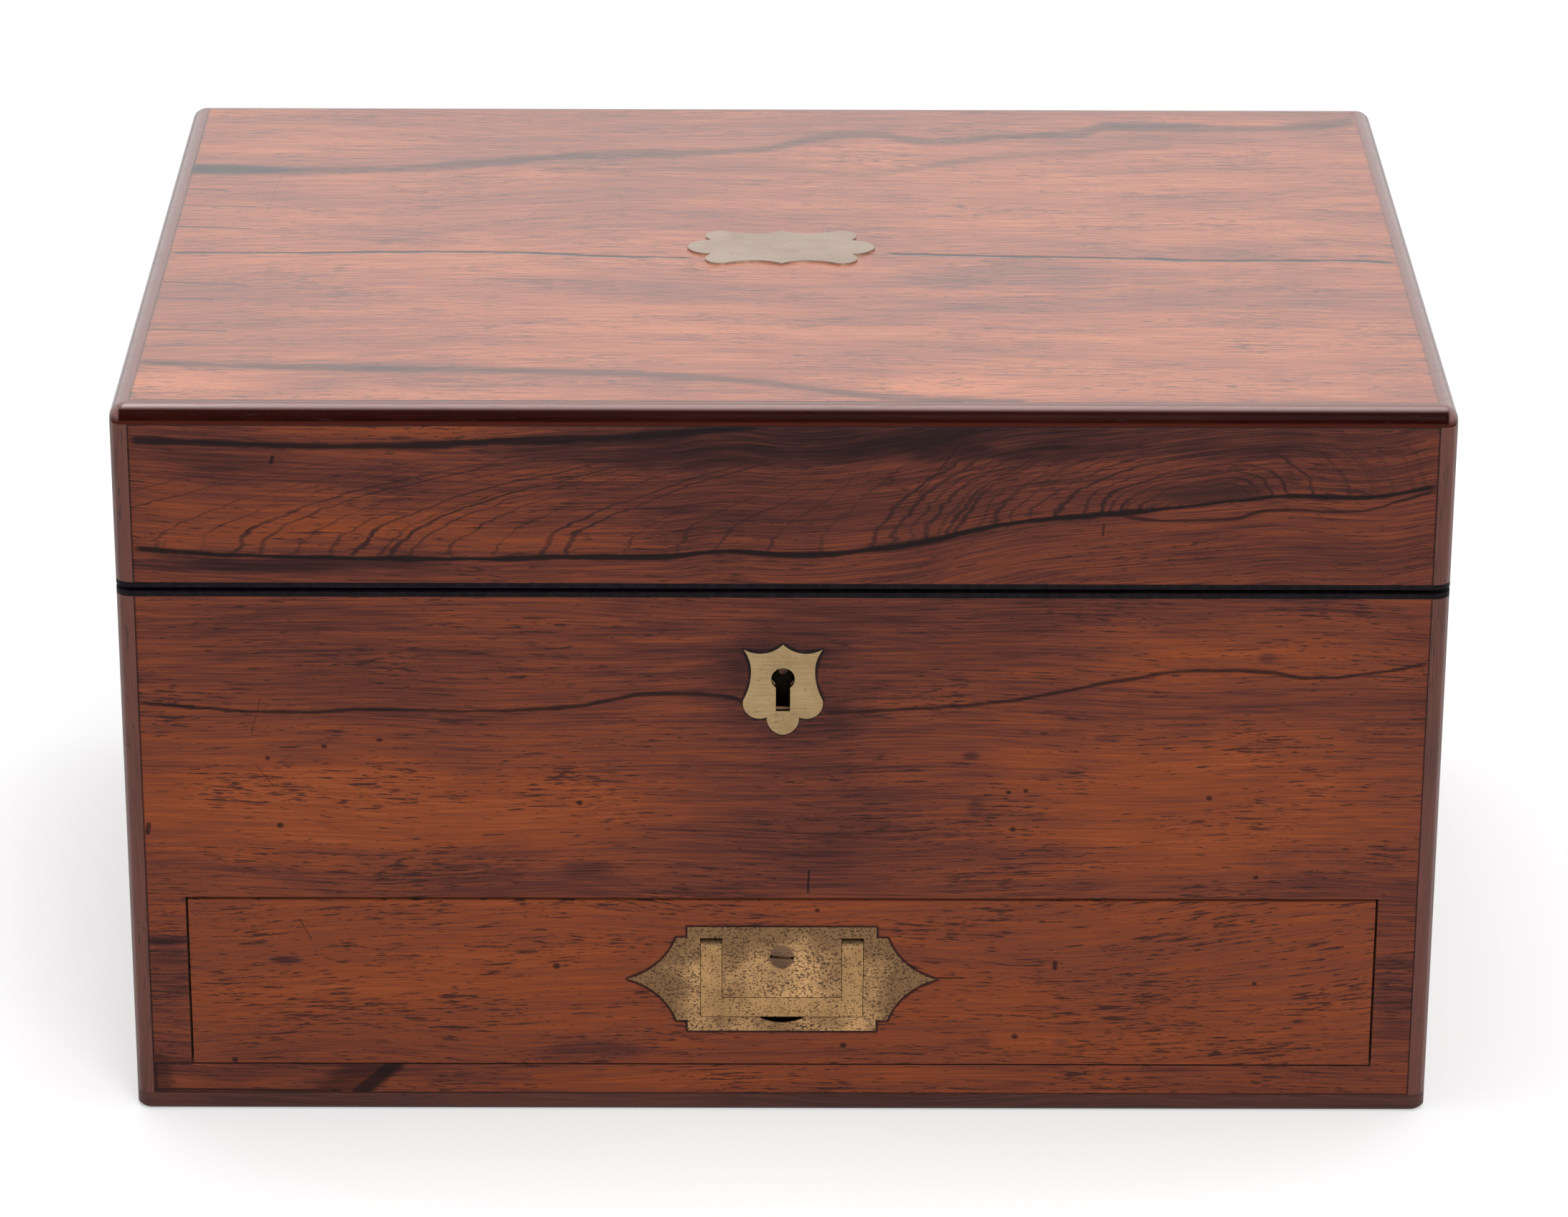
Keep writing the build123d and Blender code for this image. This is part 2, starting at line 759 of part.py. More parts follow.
def plaque_solid():
    """The brass plaque, let into the lid and standing a little proud."""
    place = Pos(-plaque_left, y_middle - plaque_forward, height + plaque_proud - plaque)
    face = place * plaque_outline()
    return extrude(face, plaque, dir=(0, 0, 1))


def mirror_limits(inset):
    """Limits along X and Y of the mirror frame, brought in by an inset."""
    edge = mirror_border + inset
    return (-x_in + edge, x_in - edge), (y_front_in + edge, y_back_in - edge)


def build_lid_fittings():
    """Framed mirror, velvet surround and the turning catch that holds the frame."""
    face = ceiling - mirror_thickness
    frame = block(*mirror_limits(0), (face, ceiling))
    sight = block(*mirror_limits(mirror_frame_width), (face, ceiling))
    rebate = block(*mirror_limits(mirror_rebate), (face + mirror_front, ceiling))
    frame = frame - sight - rebate
    inner = frame.faces().sort_by(Axis.Z)[0].inner_wires()[0].edges()
    save("mirror_frame", chamfer(inner, mirror_chamfer))
    glass_z = (face + mirror_front, face + mirror_front + mirror_glass)
    save("mirror_glass", block(*mirror_limits(mirror_rebate), glass_z))
    backing_z = (glass_z[1], ceiling)
    save("mirror_backing", block(*mirror_limits(mirror_rebate), backing_z))
    edge = soft_gap
    pad = block(
        (-x_in + edge, x_in - edge),
        (y_front_in + edge, y_back_in - edge),
        (ceiling - pad_thickness, ceiling),
    )
    hollow = block(*mirror_limits(-soft_gap), (ceiling - pad_thickness, ceiling))
    catch_y = y_front_in + catch_from_edge
    stem_z = (face - soft_gap - catch_thickness - catch_head_height, ceiling)
    stem = Pos(0, catch_y, sum(stem_z) / 2) * Cylinder(catch_screw, stem_z[1] - stem_z[0])
    pad_hole = Pos(0, catch_y, ceiling - pad_thickness / 2) * Cylinder(
        catch_screw + soft_gap, pad_thickness
    )
    save("lid_velvet", pad - hollow - pad_hole)
    head_low = stem_z[0]
    head = Pos(0, catch_y, head_low + catch_head_height / 2) * Cylinder(
        catch_head, catch_head_height
    )
    slot = block(
        (-catch_head, catch_head),
        (catch_y - screw_slot / 2, catch_y + screw_slot / 2),
        (head_low, head_low + catch_head_height / 2),
    )
    save("catch_screw", stem + head - slot)
    button_low = head_low + catch_head_height + running_gap
    shape = Pos((catch_nose - catch_tail) / 2, 0) * SlotOverall(catch_nose + catch_tail, catch_width)
    button = extrude(shape - Circle(catch_screw + running_gap), catch_thickness, dir=(0, 0, 1))
    save("mirror_catch", Pos(0, catch_y, button_low) * Rot(0, 0, 90) * button)


# ---------------------------------------------------------------- drawer
def bottom_panel():
    """The drawer's bottom, let into grooves all round."""
    low = drawer_low + drawer_bottom_rise
    return block(
        (-drawer_half + drawer_side - groove, drawer_half - drawer_side + groove),
        (y_front + drawer_front - groove, y_front + drawer_length - drawer_back + groove),
        (low, low + drawer_bottom),
    )


def build_drawer():
    """Drawer front, sides, back, bottom, velvet and dividers."""
    face = (-drawer_half, drawer_half)
    panel = bottom_panel()
    plate_hole = into_front(handle_outline(), (y_front, y_front + plate_depth))
    tall = (drawer_low, drawer_high)
    save("drawer_front_veneer", block(face, (y_front, y_front + veneer), tall) - plate_hole)
    board = block(face, (y_front + veneer, y_front + drawer_front), tall)
    save("drawer_front_board", cut(board, plate_hole, panel, handle_screw(screw_gap)))
    side_y = (y_front + drawer_front, y_front + drawer_length)
    low = (drawer_low, drawer_rim)
    sides = [
        block(mirrored(side, drawer_half - drawer_side, drawer_half), side_y, low) - panel
        for side in SIDES
    ]
    save("drawer_sides", *sides)
    inner = drawer_half - drawer_side
    back_y = (y_front + drawer_length - drawer_back, y_front + drawer_length)
    save("drawer_back", block((-inner, inner), back_y, low) - panel)
    save("drawer_bottom", panel)
    well_y = (side_y[0], back_y[0])
    velvet_top = drawer_rim - velvet_below_rim
    outer = block((-inner, inner), well_y, (drawer_inner_low, velvet_top))
    edge = drawer_velvet
    room_x = inner - edge
    room_y = (well_y[0] + edge, well_y[1] - edge)
    room = block((-room_x, room_x), room_y, (drawer_inner_low + edge, velvet_top))
    save("drawer_velvet", outer - room)
    save("drawer_dividers", *dividers(room_x, room_y, drawer_inner_low + edge))


def dividers(room_x, room_y, low):
    """One long divider with two short ones butted against its front."""
    z = (low, low + divider_height)
    middle = sum(room_y) / 2
    long_y = (middle - divider / 2, middle + divider / 2)
    pieces = [block((-room_x, room_x), long_y, z)]
    for side in SIDES:
        x = side * room_x / 3
        pieces.append(block((x - divider / 2, x + divider / 2), (room_y[0], long_y[0]), z))
    return pieces


# ---------------------------------------------------------------- flush handle
pivot_z = handle_height + bail_pivot_rise
pivot_y = y_front + bail_knuckle
bar_low = pivot_z - bail_drop


def handle_screw(grow=0.0):
    """The slotted screw of the handle plate, or its hole."""
    head = screw_head + grow
    shank = screw_shank + grow
    foot = -screw_length - grow
    neck = -screw_cone - grow
    body = turned((0, 0), (head, 0), (shank, neck), (shank, foot), (0, foot))
    if grow == 0.0:
        half = screw_slot / 2
        slot = block((-screw_head, screw_head), (-half, half), (-screw_slot_depth, 0))
        body = body - Rot(0, 0, -screw_slot_turn) * slot
    return Pos(0, y_front, handle_height + screw_rise) * Rot(90, 0, 0) * body


def bail_legs():
    """Limits along X of the two legs of the bail."""
    return [mirrored(side, bail_half - bail_section, bail_half) for side in SIDES]


def handle_bail():
    """The U-shaped bail with a knuckle at the top of each leg."""
    front = (y_front, y_front + bail_thickness)
    bail = block((-bail_half, bail_half), front, (bar_low, bar_low + bail_section))
    for leg in bail_legs():
        bail = bail + block(leg, front, (bar_low, pivot_z))
        bail = bail + along_x(bail_knuckle, leg, pivot_y, pivot_z)
        bail = bail - along_x(bail_pin + running_gap, leg, pivot_y, pivot_z)
    return bail


def handle_plate():
    """The flush plate, sunk to take the bail, with a finger notch below it."""
    plate = into_front(handle_outline(), (y_front, y_front + plate_depth))
    well = (y_front, y_front + bail_well)
    half = bail_half + bail_gap
    bar_top = bar_low + bail_section + bail_gap
    plate = plate - block((-half, half), well, (bar_low - bail_gap, bar_top))
    reach = bail_knuckle + bail_gap
    pins = handle_pins(running_gap)
    for leg in bail_legs():
        room = (leg[0] - bail_gap, leg[1] + bail_gap)
        plate = plate - block(room, well, (bar_low, pivot_z))
        plate = plate - block(room, (y_front, pivot_y + reach), (pivot_z - reach, pivot_z + reach))
    rise = (notch_chord / 2) ** 2 / (2 * notch_drop) - notch_drop / 2
    radius = rise + notch_drop
    edge = bar_low - bail_gap
    notch = along_y(radius, 0, (y_front, y_front + notch_depth), edge + rise)
    below = block((-radius, radius), well, (edge - notch_drop, edge))
    return cut(plate, notch & below, handle_screw(screw_gap), *pins)


def handle_pins(grow=0.0):
    """The pins through the bail's knuckles, one each side."""
    ends = [(leg[0] - pin_reach, leg[1] + pin_reach) for leg in bail_legs()]
    return [along_x(bail_pin + grow, end, pivot_y, pivot_z) for end in ends]


def build_handle():
    """Handle plate, screw, pins and bail."""
    save("handle_plate", handle_plate())
    save("handle_screw", handle_screw())
    save("handle_pins", *handle_pins())
    save("handle_bail", handle_bail())


# ---------------------------------------------------------------- tray and jars
def tray_wells():
    """Limits in X and Y of each well: name, x, y."""
    inner = tray_half - tray_wall
    front = tray_front + tray_wall
    back = tray_back - tray_wall
    left = (-inner, -inner + bay)
    right = (inner - bay, inner)
    centre = (left[1] + tray_wall, right[0] - tray_wall)
    half = (back - front - tray_wall) / 2
    third = (back - front - 2 * tray_wall) / 3
    wells = {
        "box_front": (left, (front, front + half)),
        "box_back": (left, (back - half, back)),
        "long": (centre, (back - back_well, back)),
        "open": (centre, (front, back - back_well - tray_wall)),
    }
    for index, name in enumerate(("flask_front", "flask_middle", "flask_back")):
        start = front + index * (third + tray_wall)
        wells[name] = (right, (start, start + third))
    return wells


def shrunk(limits, by):
    """Limits brought in at both ends."""
    return limits[0] + by, limits[1] - by


def cut_corners(x, y, z, cut_back):
    """A box with flats across its upright edges, as on cut glass."""
    box = block(x, y, z)
    return chamfer(box.edges().filter_by(Axis.Z), cut_back)


shoulder = jar_low + jar_height
neck_top = shoulder + neck_height
cap_low = shoulder + cap_fit
cap_inner_top = neck_top + cap_fit


def oblong_jar(x, y):
    """A thick glass box with a neck that follows its sides."""
    x = shrunk(x, jar_gap)
    y = shrunk(y, jar_gap)
    body = cut_corners(x, y, (jar_low, shoulder), jar_corner)
    body = chamfer(body.faces().sort_by(Axis.Z)[-1].edges(), neck_inset / 3)
    neck_x = shrunk(x, neck_inset)
    neck_y = shrunk(y, neck_inset)
    neck = cut_corners(neck_x, neck_y, (shoulder, neck_top), jar_corner - neck_inset / 2)
    inset = neck_inset + jar_wall
    room_z = (jar_low + jar_wall, neck_top)
    room = cut_corners(shrunk(x, inset), shrunk(y, inset), room_z, jar_corner / 2)
    return body + neck - room


def oblong_cap(x, y):
    """A plated lid over an oblong neck, with a sloped crown."""
    inset = jar_gap + neck_inset - cap_fit
    inner_x = shrunk(x, inset)
    inner_y = shrunk(y, inset)
    corner = jar_corner - neck_inset / 2 + cap_fit
    room = cut_corners(inner_x, inner_y, (cap_low, cap_inner_top), corner)
    outer_x = shrunk(inner_x, -cap_wall)
    outer_y = shrunk(inner_y, -cap_wall)
    rim_top = cap_inner_top + cap_rim
    outer = cut_corners(outer_x, outer_y, (cap_low, rim_top), corner + cap_wall)
    crown = raised(outer.faces().sort_by(Axis.Z)[-1], cap_crown - cap_rim, cap_slope)
    return outer + crown - room


def flask(x, y):
    """A square glass jar with a round neck."""
    body = cut_corners(shrunk(x, jar_gap), shrunk(y, jar_gap), (jar_low, shoulder), jar_corner)
    body = chamfer(body.faces().sort_by(Axis.Z)[-1].edges(), neck_inset)
    neck = raised(flats(flask_neck, neck_flats, shoulder), neck_height)
    room_low = jar_low + jar_wall
    room = raised(flats(flask_neck - jar_wall, neck_flats, room_low), neck_top - room_low)
    return body + centred(neck, x, y) - centred(room, x, y)


def centred(shape, x, y):
    """The shape moved from the Z axis to the middle of two limits."""
    return Pos(sum(x) / 2, sum(y) / 2, 0) * shape


def flask_cap(x, y):
    """A round plated lid with a sloped crown, over a round neck."""
    inner = flask_neck + cap_fit
    outer = inner + cap_wall
    rim_top = cap_inner_top + cap_rim
    skirt = raised(flats(outer, neck_flats, cap_low), rim_top - cap_low)
    crown = raised(flats(outer, neck_flats, rim_top), cap_crown - cap_rim, outer - cap_knob)
    room = raised(flats(inner, neck_flats, cap_low), cap_inner_top - cap_low)
    return centred(skirt + crown - room, x, y)


def build_tray():
    """The lift-out tray with its wells, velvet, glass jars and plated caps."""
    tray = block((-tray_half, tray_half), (tray_front, tray_back), (tray_low, tray_top))
    wells = tray_wells()
    floor = tray_low + tray_floor
    for x, y in wells.values():
        tray = tray - block(x, y, (floor, tray_top))
    save("tray_box", tray)
    x, y = wells["open"]
    velvet_top = tray_top - velvet_edge
    pad = block(x, y, (floor, velvet_top))
    room = block(shrunk(x, well_velvet), shrunk(y, well_velvet), (floor + well_velvet, velvet_top))
    save("tray_velvet", pad - room)
    jars = []
    for name, (x, y) in wells.items():
        if name == "open":
            continue
        if name.startswith("flask"):
            jars.append(flask(x, y))
            save(f"cap_{name}", flask_cap(x, y))
        else:
            jars.append(oblong_jar(x, y))
            save(f"cap_{name}", oblong_cap(x, y))
    save("glass_jars", *jars)


def main():
    """Write every piece of the box."""
    os.makedirs("parts", exist_ok=True)
    build_case_wood()
    build_case_skin()
    build_case_brass()
    build_lid_wood()
    build_lid_fittings()
    build_drawer()
    build_handle()
    build_tray()


main()
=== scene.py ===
"""Looks of the antique fitted dressing box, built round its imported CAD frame.

The front faces -Y and the base stands on Z = 0. Sizes in the classes below are in
millimetres, and so are the patterns of the finishes.
"""
import logging
import math
from collections.abc import Iterable, Mapping, Sequence
from dataclasses import dataclass, field
from enum import Enum
from typing import ClassVar

import bmesh
import bpy
from mathutils import Matrix, Vector


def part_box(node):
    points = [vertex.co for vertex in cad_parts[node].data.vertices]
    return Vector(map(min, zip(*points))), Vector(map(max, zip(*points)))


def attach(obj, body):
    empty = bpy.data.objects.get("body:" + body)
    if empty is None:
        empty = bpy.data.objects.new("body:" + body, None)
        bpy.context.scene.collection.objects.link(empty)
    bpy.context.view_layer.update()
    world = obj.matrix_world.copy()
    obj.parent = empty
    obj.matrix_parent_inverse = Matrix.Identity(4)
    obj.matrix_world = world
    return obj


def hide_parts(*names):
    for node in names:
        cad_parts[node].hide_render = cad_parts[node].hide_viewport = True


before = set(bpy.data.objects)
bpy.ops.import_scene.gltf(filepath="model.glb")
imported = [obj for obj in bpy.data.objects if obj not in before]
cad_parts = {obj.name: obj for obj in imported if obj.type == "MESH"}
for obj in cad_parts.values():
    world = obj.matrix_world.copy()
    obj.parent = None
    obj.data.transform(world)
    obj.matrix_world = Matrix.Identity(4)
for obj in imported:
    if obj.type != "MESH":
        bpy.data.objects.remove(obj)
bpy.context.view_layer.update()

MM = 0.001
SPAN = (-155.0, 155.0)  # how far drawn lines may run along the grain
MERGE = 1e-4  # points closer than this are one
STRAIGHT = 0.99  # how nearly upright or level a straight edge or a flat face is
log = logging.getLogger("dressing_box")

Socket = bpy.types.NodeSocket
Value = float | Socket
Colour = tuple[float, float, float]
Tones = tuple[tuple[float, Colour], ...]
Point = tuple[float, float]
Place = tuple[float, float, float]
Spot = tuple[Socket, Socket]
Line = tuple[Point, ...]


# --- node graphs
class Graph:
    """A node tree, with short calls for the nodes it is made of."""

    def __init__(self, tree: bpy.types.NodeTree) -> None:
        """Work in a node tree."""
        self.tree = tree

    def feed(self, node: bpy.types.Node, inputs: Mapping[str | int, Value | Sequence[float]]) -> None:
        """Set or link inputs of a node.

        Args:
            node: The node.
            inputs: What goes into each named or numbered input.
        """
        for key, value in inputs.items():
            if isinstance(value, Socket):
                self.tree.links.new(value, node.inputs[key])
            else:
                node.inputs[key].default_value = value

    def node(self, kind: str, *inputs: Value | Vector, **settings: str) -> bpy.types.Node:
        """Make a node.

        Args:
            kind: Its type, less the words that all shader nodes begin with.
            *inputs: What goes into its first inputs.
            **settings: Its own settings.

        Returns:
            The node.
        """
        made = self.tree.nodes.new(f"ShaderNode{kind}")
        for key, value in settings.items():
            setattr(made, key, value)
        self.feed(made, dict(enumerate(inputs)))
        return made

    def math(self, operation: str, first: Value, second: Value = 0.0, third: Value = 0.0) -> Socket:
        """One step of arithmetic."""
        return self.node("Math", first, second, third, operation=operation).outputs[0]

    def add(self, first: Value, second: Value) -> Socket:
        """The sum of two values."""
        return self.math("ADD", first, second)

    def less(self, first: Value, second: Value) -> Socket:
        """The first value less the second."""
        return self.math("SUBTRACT", first, second)

    def times(self, first: Value, second: Value) -> Socket:
        """The product of two values."""
        return self.math("MULTIPLY", first, second)

    def swing(self, noise: Socket, share: Value) -> Socket:
        """A share of a noise, brought to swing about zero."""
        return self.times(self.less(noise, 0.5), share)

    def gather(self, values: Iterable[Value], operation: str = "MAXIMUM") -> Socket:
        """Join many values, each as it is made, so that few are held at a time.

        Args:
            values: The values.
            operation: What joins two of them.

        Returns:
            The largest value, or what the operation gives.
        """
        rest = iter(values)
        found = next(rest)
        for value in rest:
            found = self.math(operation, found, value)
        return found

    def most(self, *values: Value) -> Socket:
        """The largest of several values."""
        return self.gather(values)

    def far(self, value: Value) -> Socket:
        """How far a value is from zero."""
        return self.math("ABSOLUTE", value)

    def reach(self, first: Value, second: Value) -> Socket:
        """The length of the slanted side over two square ones."""
        return self.math("SQRT", self.add(self.times(first, first), self.times(second, second)))

    def share(self, value: Socket, start: float, end: float) -> Socket:
        """How much of the way from start to end a value has come, from 0 to 1."""
        return self.node("MapRange", value, start, end).outputs[0]

    def fade(self, value: Value, start: Value, end: Value, low: float = 0.0, high: float = 1.0) -> Socket:
        """A soft step from low at start to high at end."""
        node = self.node("MapRange", value, start, end, low, high, interpolation_type="SMOOTHSTEP")
        return node.outputs[0]

    def vector(self, x: Value, y: Value = 0.0, z: Value = 0.0) -> Socket:
        """Three values as one vector."""
        return self.node("CombineXYZ", x, y, z).outputs[0]

    def split(self, vector: Socket) -> tuple[Socket, Socket, Socket]:
        """The three values of a vector."""
        return tuple(self.node("SeparateXYZ", vector).outputs)

    def arrow(self, operation: str, *values: Socket | Vector) -> Socket:
        """One step of vector arithmetic."""
        node = self.node("VectorMath", *values, operation=operation)
        return node.outputs["Value" if operation in ("DOT_PRODUCT", "DISTANCE") else "Vector"]

    def segment(self, spot: Socket, start: Point, end: Point) -> Socket:
        """How far a point lies from a straight line between two places.

        Args:
            spot: The point, as a vector along and across.
            start: Where the line starts.
            end: Where it ends.

        Returns:
            The distance.
        """
        foot = Vector((*start, 0.0))
        run = Vector((*end, 0.0)) - foot
        low = run.dot(foot)
        share = self.share(self.arrow("DOT_PRODUCT", spot, run), low, low + run.length_squared)
        return self.arrow("DISTANCE", spot, self.arrow("MULTIPLY_ADD", run, share, foot))

    def curve(self, along: Socket, points: Line, low: float, high: float) -> Socket:
        """The height of a drawn curve.

        Args:
            along: Where along the grain it is read.
            points: The places that it passes through.
            low: Lowest height that it can show.
            high: Highest height that it can show.

        Returns:
            The height there.
        """
        start, end = SPAN
        node = self.node("FloatCurve")
        self.feed(node, {1: self.share(along, start, end)})
        drawn = node.mapping.curves[0]
        spots = [((a - start) / (end - start), (b - low) / (high - low)) for a, b in points]
        drawn.points[0].location, drawn.points[1].location = spots[0], spots[-1]
        for spot in spots[1:-1]:
            drawn.points.new(*spot)
        for point in drawn.points:
            point.handle_type = "AUTO_CLAMPED"
        node.mapping.extend = "HORIZONTAL"
        node.mapping.update()
        return self.math("MULTIPLY_ADD", node.outputs[0], high - low, low)

    def noise(
        self, vector: Socket, scale: float = 1.0, detail: float = 2.0, rough: float = 0.5, warp: float = 0.0
    ) -> Socket:
        """Smooth noise.

        Args:
            vector: Where it is read.
            scale: How closely it changes.
            detail: How many finer layers it has.
            rough: How strong the finer layers are.
            warp: How much it is twisted.

        Returns:
            A value from 0 to 1, mostly near one half.
        """
        node = self.node("TexNoise", vector)
        self.feed(node, {"Scale": scale, "Detail": detail, "Roughness": rough, "Distortion": warp})
        return node.outputs["Fac"]

    def stretched(self, place: Iterable[Socket], steps: Place, detail: float, rough: float = 0.5) -> Socket:
        """Noise that changes by its own measure along each of X, Y and Z."""
        scaled = (self.times(value, step) for value, step in zip(place, steps))
        return self.noise(self.vector(*scaled), detail=detail, rough=rough)

    @staticmethod
    def opaque(colour: Colour | Socket) -> tuple[float, ...] | Socket:
        """A colour as a node's input takes it."""
        return colour if isinstance(colour, Socket) else (*colour, 1.0)

    def blend(self, factor: Value, low: Colour | Socket, high: Colour | Socket) -> Socket:
        """Blend two colours.

        Args:
            factor: How much of the second colour there is.
            low: The first colour.
            high: The second colour.

        Returns:
            The colour between them.
        """
        node = self.node("Mix", factor, data_type="RGBA")
        self.feed(node, {6: self.opaque(low), 7: self.opaque(high)})
        return node.outputs[2]

    def ramp(self, value: Value, stops: Tones) -> Socket:
        """A colour read off a row of stops.

        Args:
            value: Where it is read, from 0 to 1.
            stops: Places and their colours, in order.

        Returns:
            The colour there.
        """
        node = self.node("ValToRGB", value)
        row = node.color_ramp.elements
        for index, (place, colour) in enumerate(stops):
            stop = row[index] if index < 2 else row.new(place)
            stop.position = place
            stop.color = self.opaque(colour)
        return node.outputs[0]


class Coat(Graph):
    """The material of one finish."""

    def __init__(self, name: str) -> None:
        """Start a material that shows nothing yet.

        Args:
            name: The finish's name.
        """
        self.material = bpy.data.materials.new(f"{name}_finish")
        self.material.use_nodes = True
        super().__init__(self.material.node_tree)
        self.tree.nodes.clear()
        output = self.node("OutputMaterial")
        self.shader = self.node("BsdfPrincipled")
        self.feed(output, {"Surface": self.shader.outputs[0]})
        self.place = self.node("TexCoord")

    def millimetres(self) -> tuple[Socket, Socket, Socket]:
        """Find where a point of the piece is.

        Returns:
            Its place along X, Y and Z, in millimetres.
        """
        node = self.node("VectorMath", self.place.outputs["Object"], operation="SCALE")
        self.feed(node, {"Scale": 1 / MM})
        return self.split(node.outputs[0])

    def facing(self) -> tuple[Socket, Socket, Socket]:
        """The way that the surface looks."""
        return self.split(self.place.outputs["Normal"])

    def dress(self, colour: Socket | Colour, rough: Value, **constants: float) -> None:
        """Connect colour and roughness, and set the shader's own constants.

        Args:
            colour: The colour.
            rough: The roughness.
            **constants: Values of other inputs of the shader.
        """
        self.feed(self.shader, {"Base Color": self.opaque(colour), "Roughness": rough})
        self.feed(self.shader, {key.replace("_", " "): value for key, value in constants.items()})

    def relief(self, height: Socket, depth: float) -> None:
        """Raise or sink the surface.

        Args:
            height: The height, from 0 to 1.
            depth: How much that is, in millimetres.
        """
        node = self.node("Bump")
        self.feed(node, {"Distance": depth * MM, "Height": height})
        for key in ("Normal", "Coat Normal"):
            self.feed(self.shader, {key: node.outputs[0]})


MADE: dict[str, bpy.types.Material] = {}


@dataclass(frozen=True)
class Finish:
    """What a piece wears; each finish is built once."""

    name: str

    def material(self) -> bpy.types.Material:
        """Build the finish when it is first asked for.

        Returns:
            Its material.
        """
        if self.name not in MADE:
            coat = Coat(self.name)
            self.make(coat)
            MADE[self.name] = coat.material
        return MADE[self.name]

    def make(self, g: Coat) -> None:
        """Build the finish.

        Args:
            g: Its empty material.
        """
        raise NotImplementedError


# --- wood
class Lie(Enum):
    """Which way the grain of a piece runs, and which way lies across it."""

    FRONT = "x z"
    TOP = "x y"
    ROUND = "round"
    UPRIGHT = "z"


@dataclass(frozen=True)
class Streak:
    """A black growth line or a crack through points along and across the grain."""

    line: Line
    half: float = 0.4
    soft: float = 0.5
    depth: float = 0.85
    waver: float = 0.8
    sunk: bool = False


@dataclass(frozen=True)
class Cloud:
    """A soft patch of darker wood, or of warmer wood where the depth is below zero."""

    along: float
    across: float
    long: float
    wide: float
    depth: float
    ragged: float = 1.0


@dataclass(frozen=True)
class Mark:
    """A short straight scratch, stain, hole or dark line from one place to another; some are painted shade
    in a gap.
    """

    along: float
    across: float
    end_along: float
    end_across: float
    half: float = 0.35
    depth: float = 0.8


def speck(along: float, across: float, half: float) -> Mark:
    """A small round hole or stain."""
    return Mark(along - 0.1, across, along + 0.1, across, half)


@dataclass(frozen=True)
class Halo:
    """Dirt in the joint round a let-in plate whose left and right halves mirror each other."""

    middle: Point
    outline: Line
    level: bool = False  # whether its upper and lower halves mirror each other too
    half: float = 0.4
    depth: float = 0.85


@dataclass(frozen=True)
class Flame:
    """Curved growth lines that rise from a black line and sweep over into another."""

    foot: Line
    head: Line
    sweep: float = 80.0
    bend: float = 2.0
    eye: Point = (98.0, 156.5)
    near_side: float = 1.65
    flat: float = 2.9
    meet: Point = (-4.0, 26.0)
    faint: tuple[float, ...] = (
        -174, -160, -143, -133, -110.5, -103, -91.3, -84, -76, -66, -36, -25, -15, -4,
        8, 28.5, 35.5, 44.5, 52, 56.5, 67, 73.5, 78, 83, 88,
    )
    bold: tuple[float, ...] = (-125, -119.5, -97.7, -88.7, -55.2, -49.8, 20, 24.5, 32, 38, 40, 48, 62)
    nest: tuple[float, ...] = (71, 76.5, 81, 84.5, 87.5, 90.5, 93, 95.5)


WOOD_TONES = (
    (0.0, (0.020, 0.009, 0.009)), (0.22, (0.046, 0.016, 0.014)), (0.42, (0.094, 0.027, 0.020)),
    (0.6, (0.156, 0.041, 0.022)), (0.8, (0.218, 0.052, 0.019)), (1.0, (0.280, 0.070, 0.025)),
)


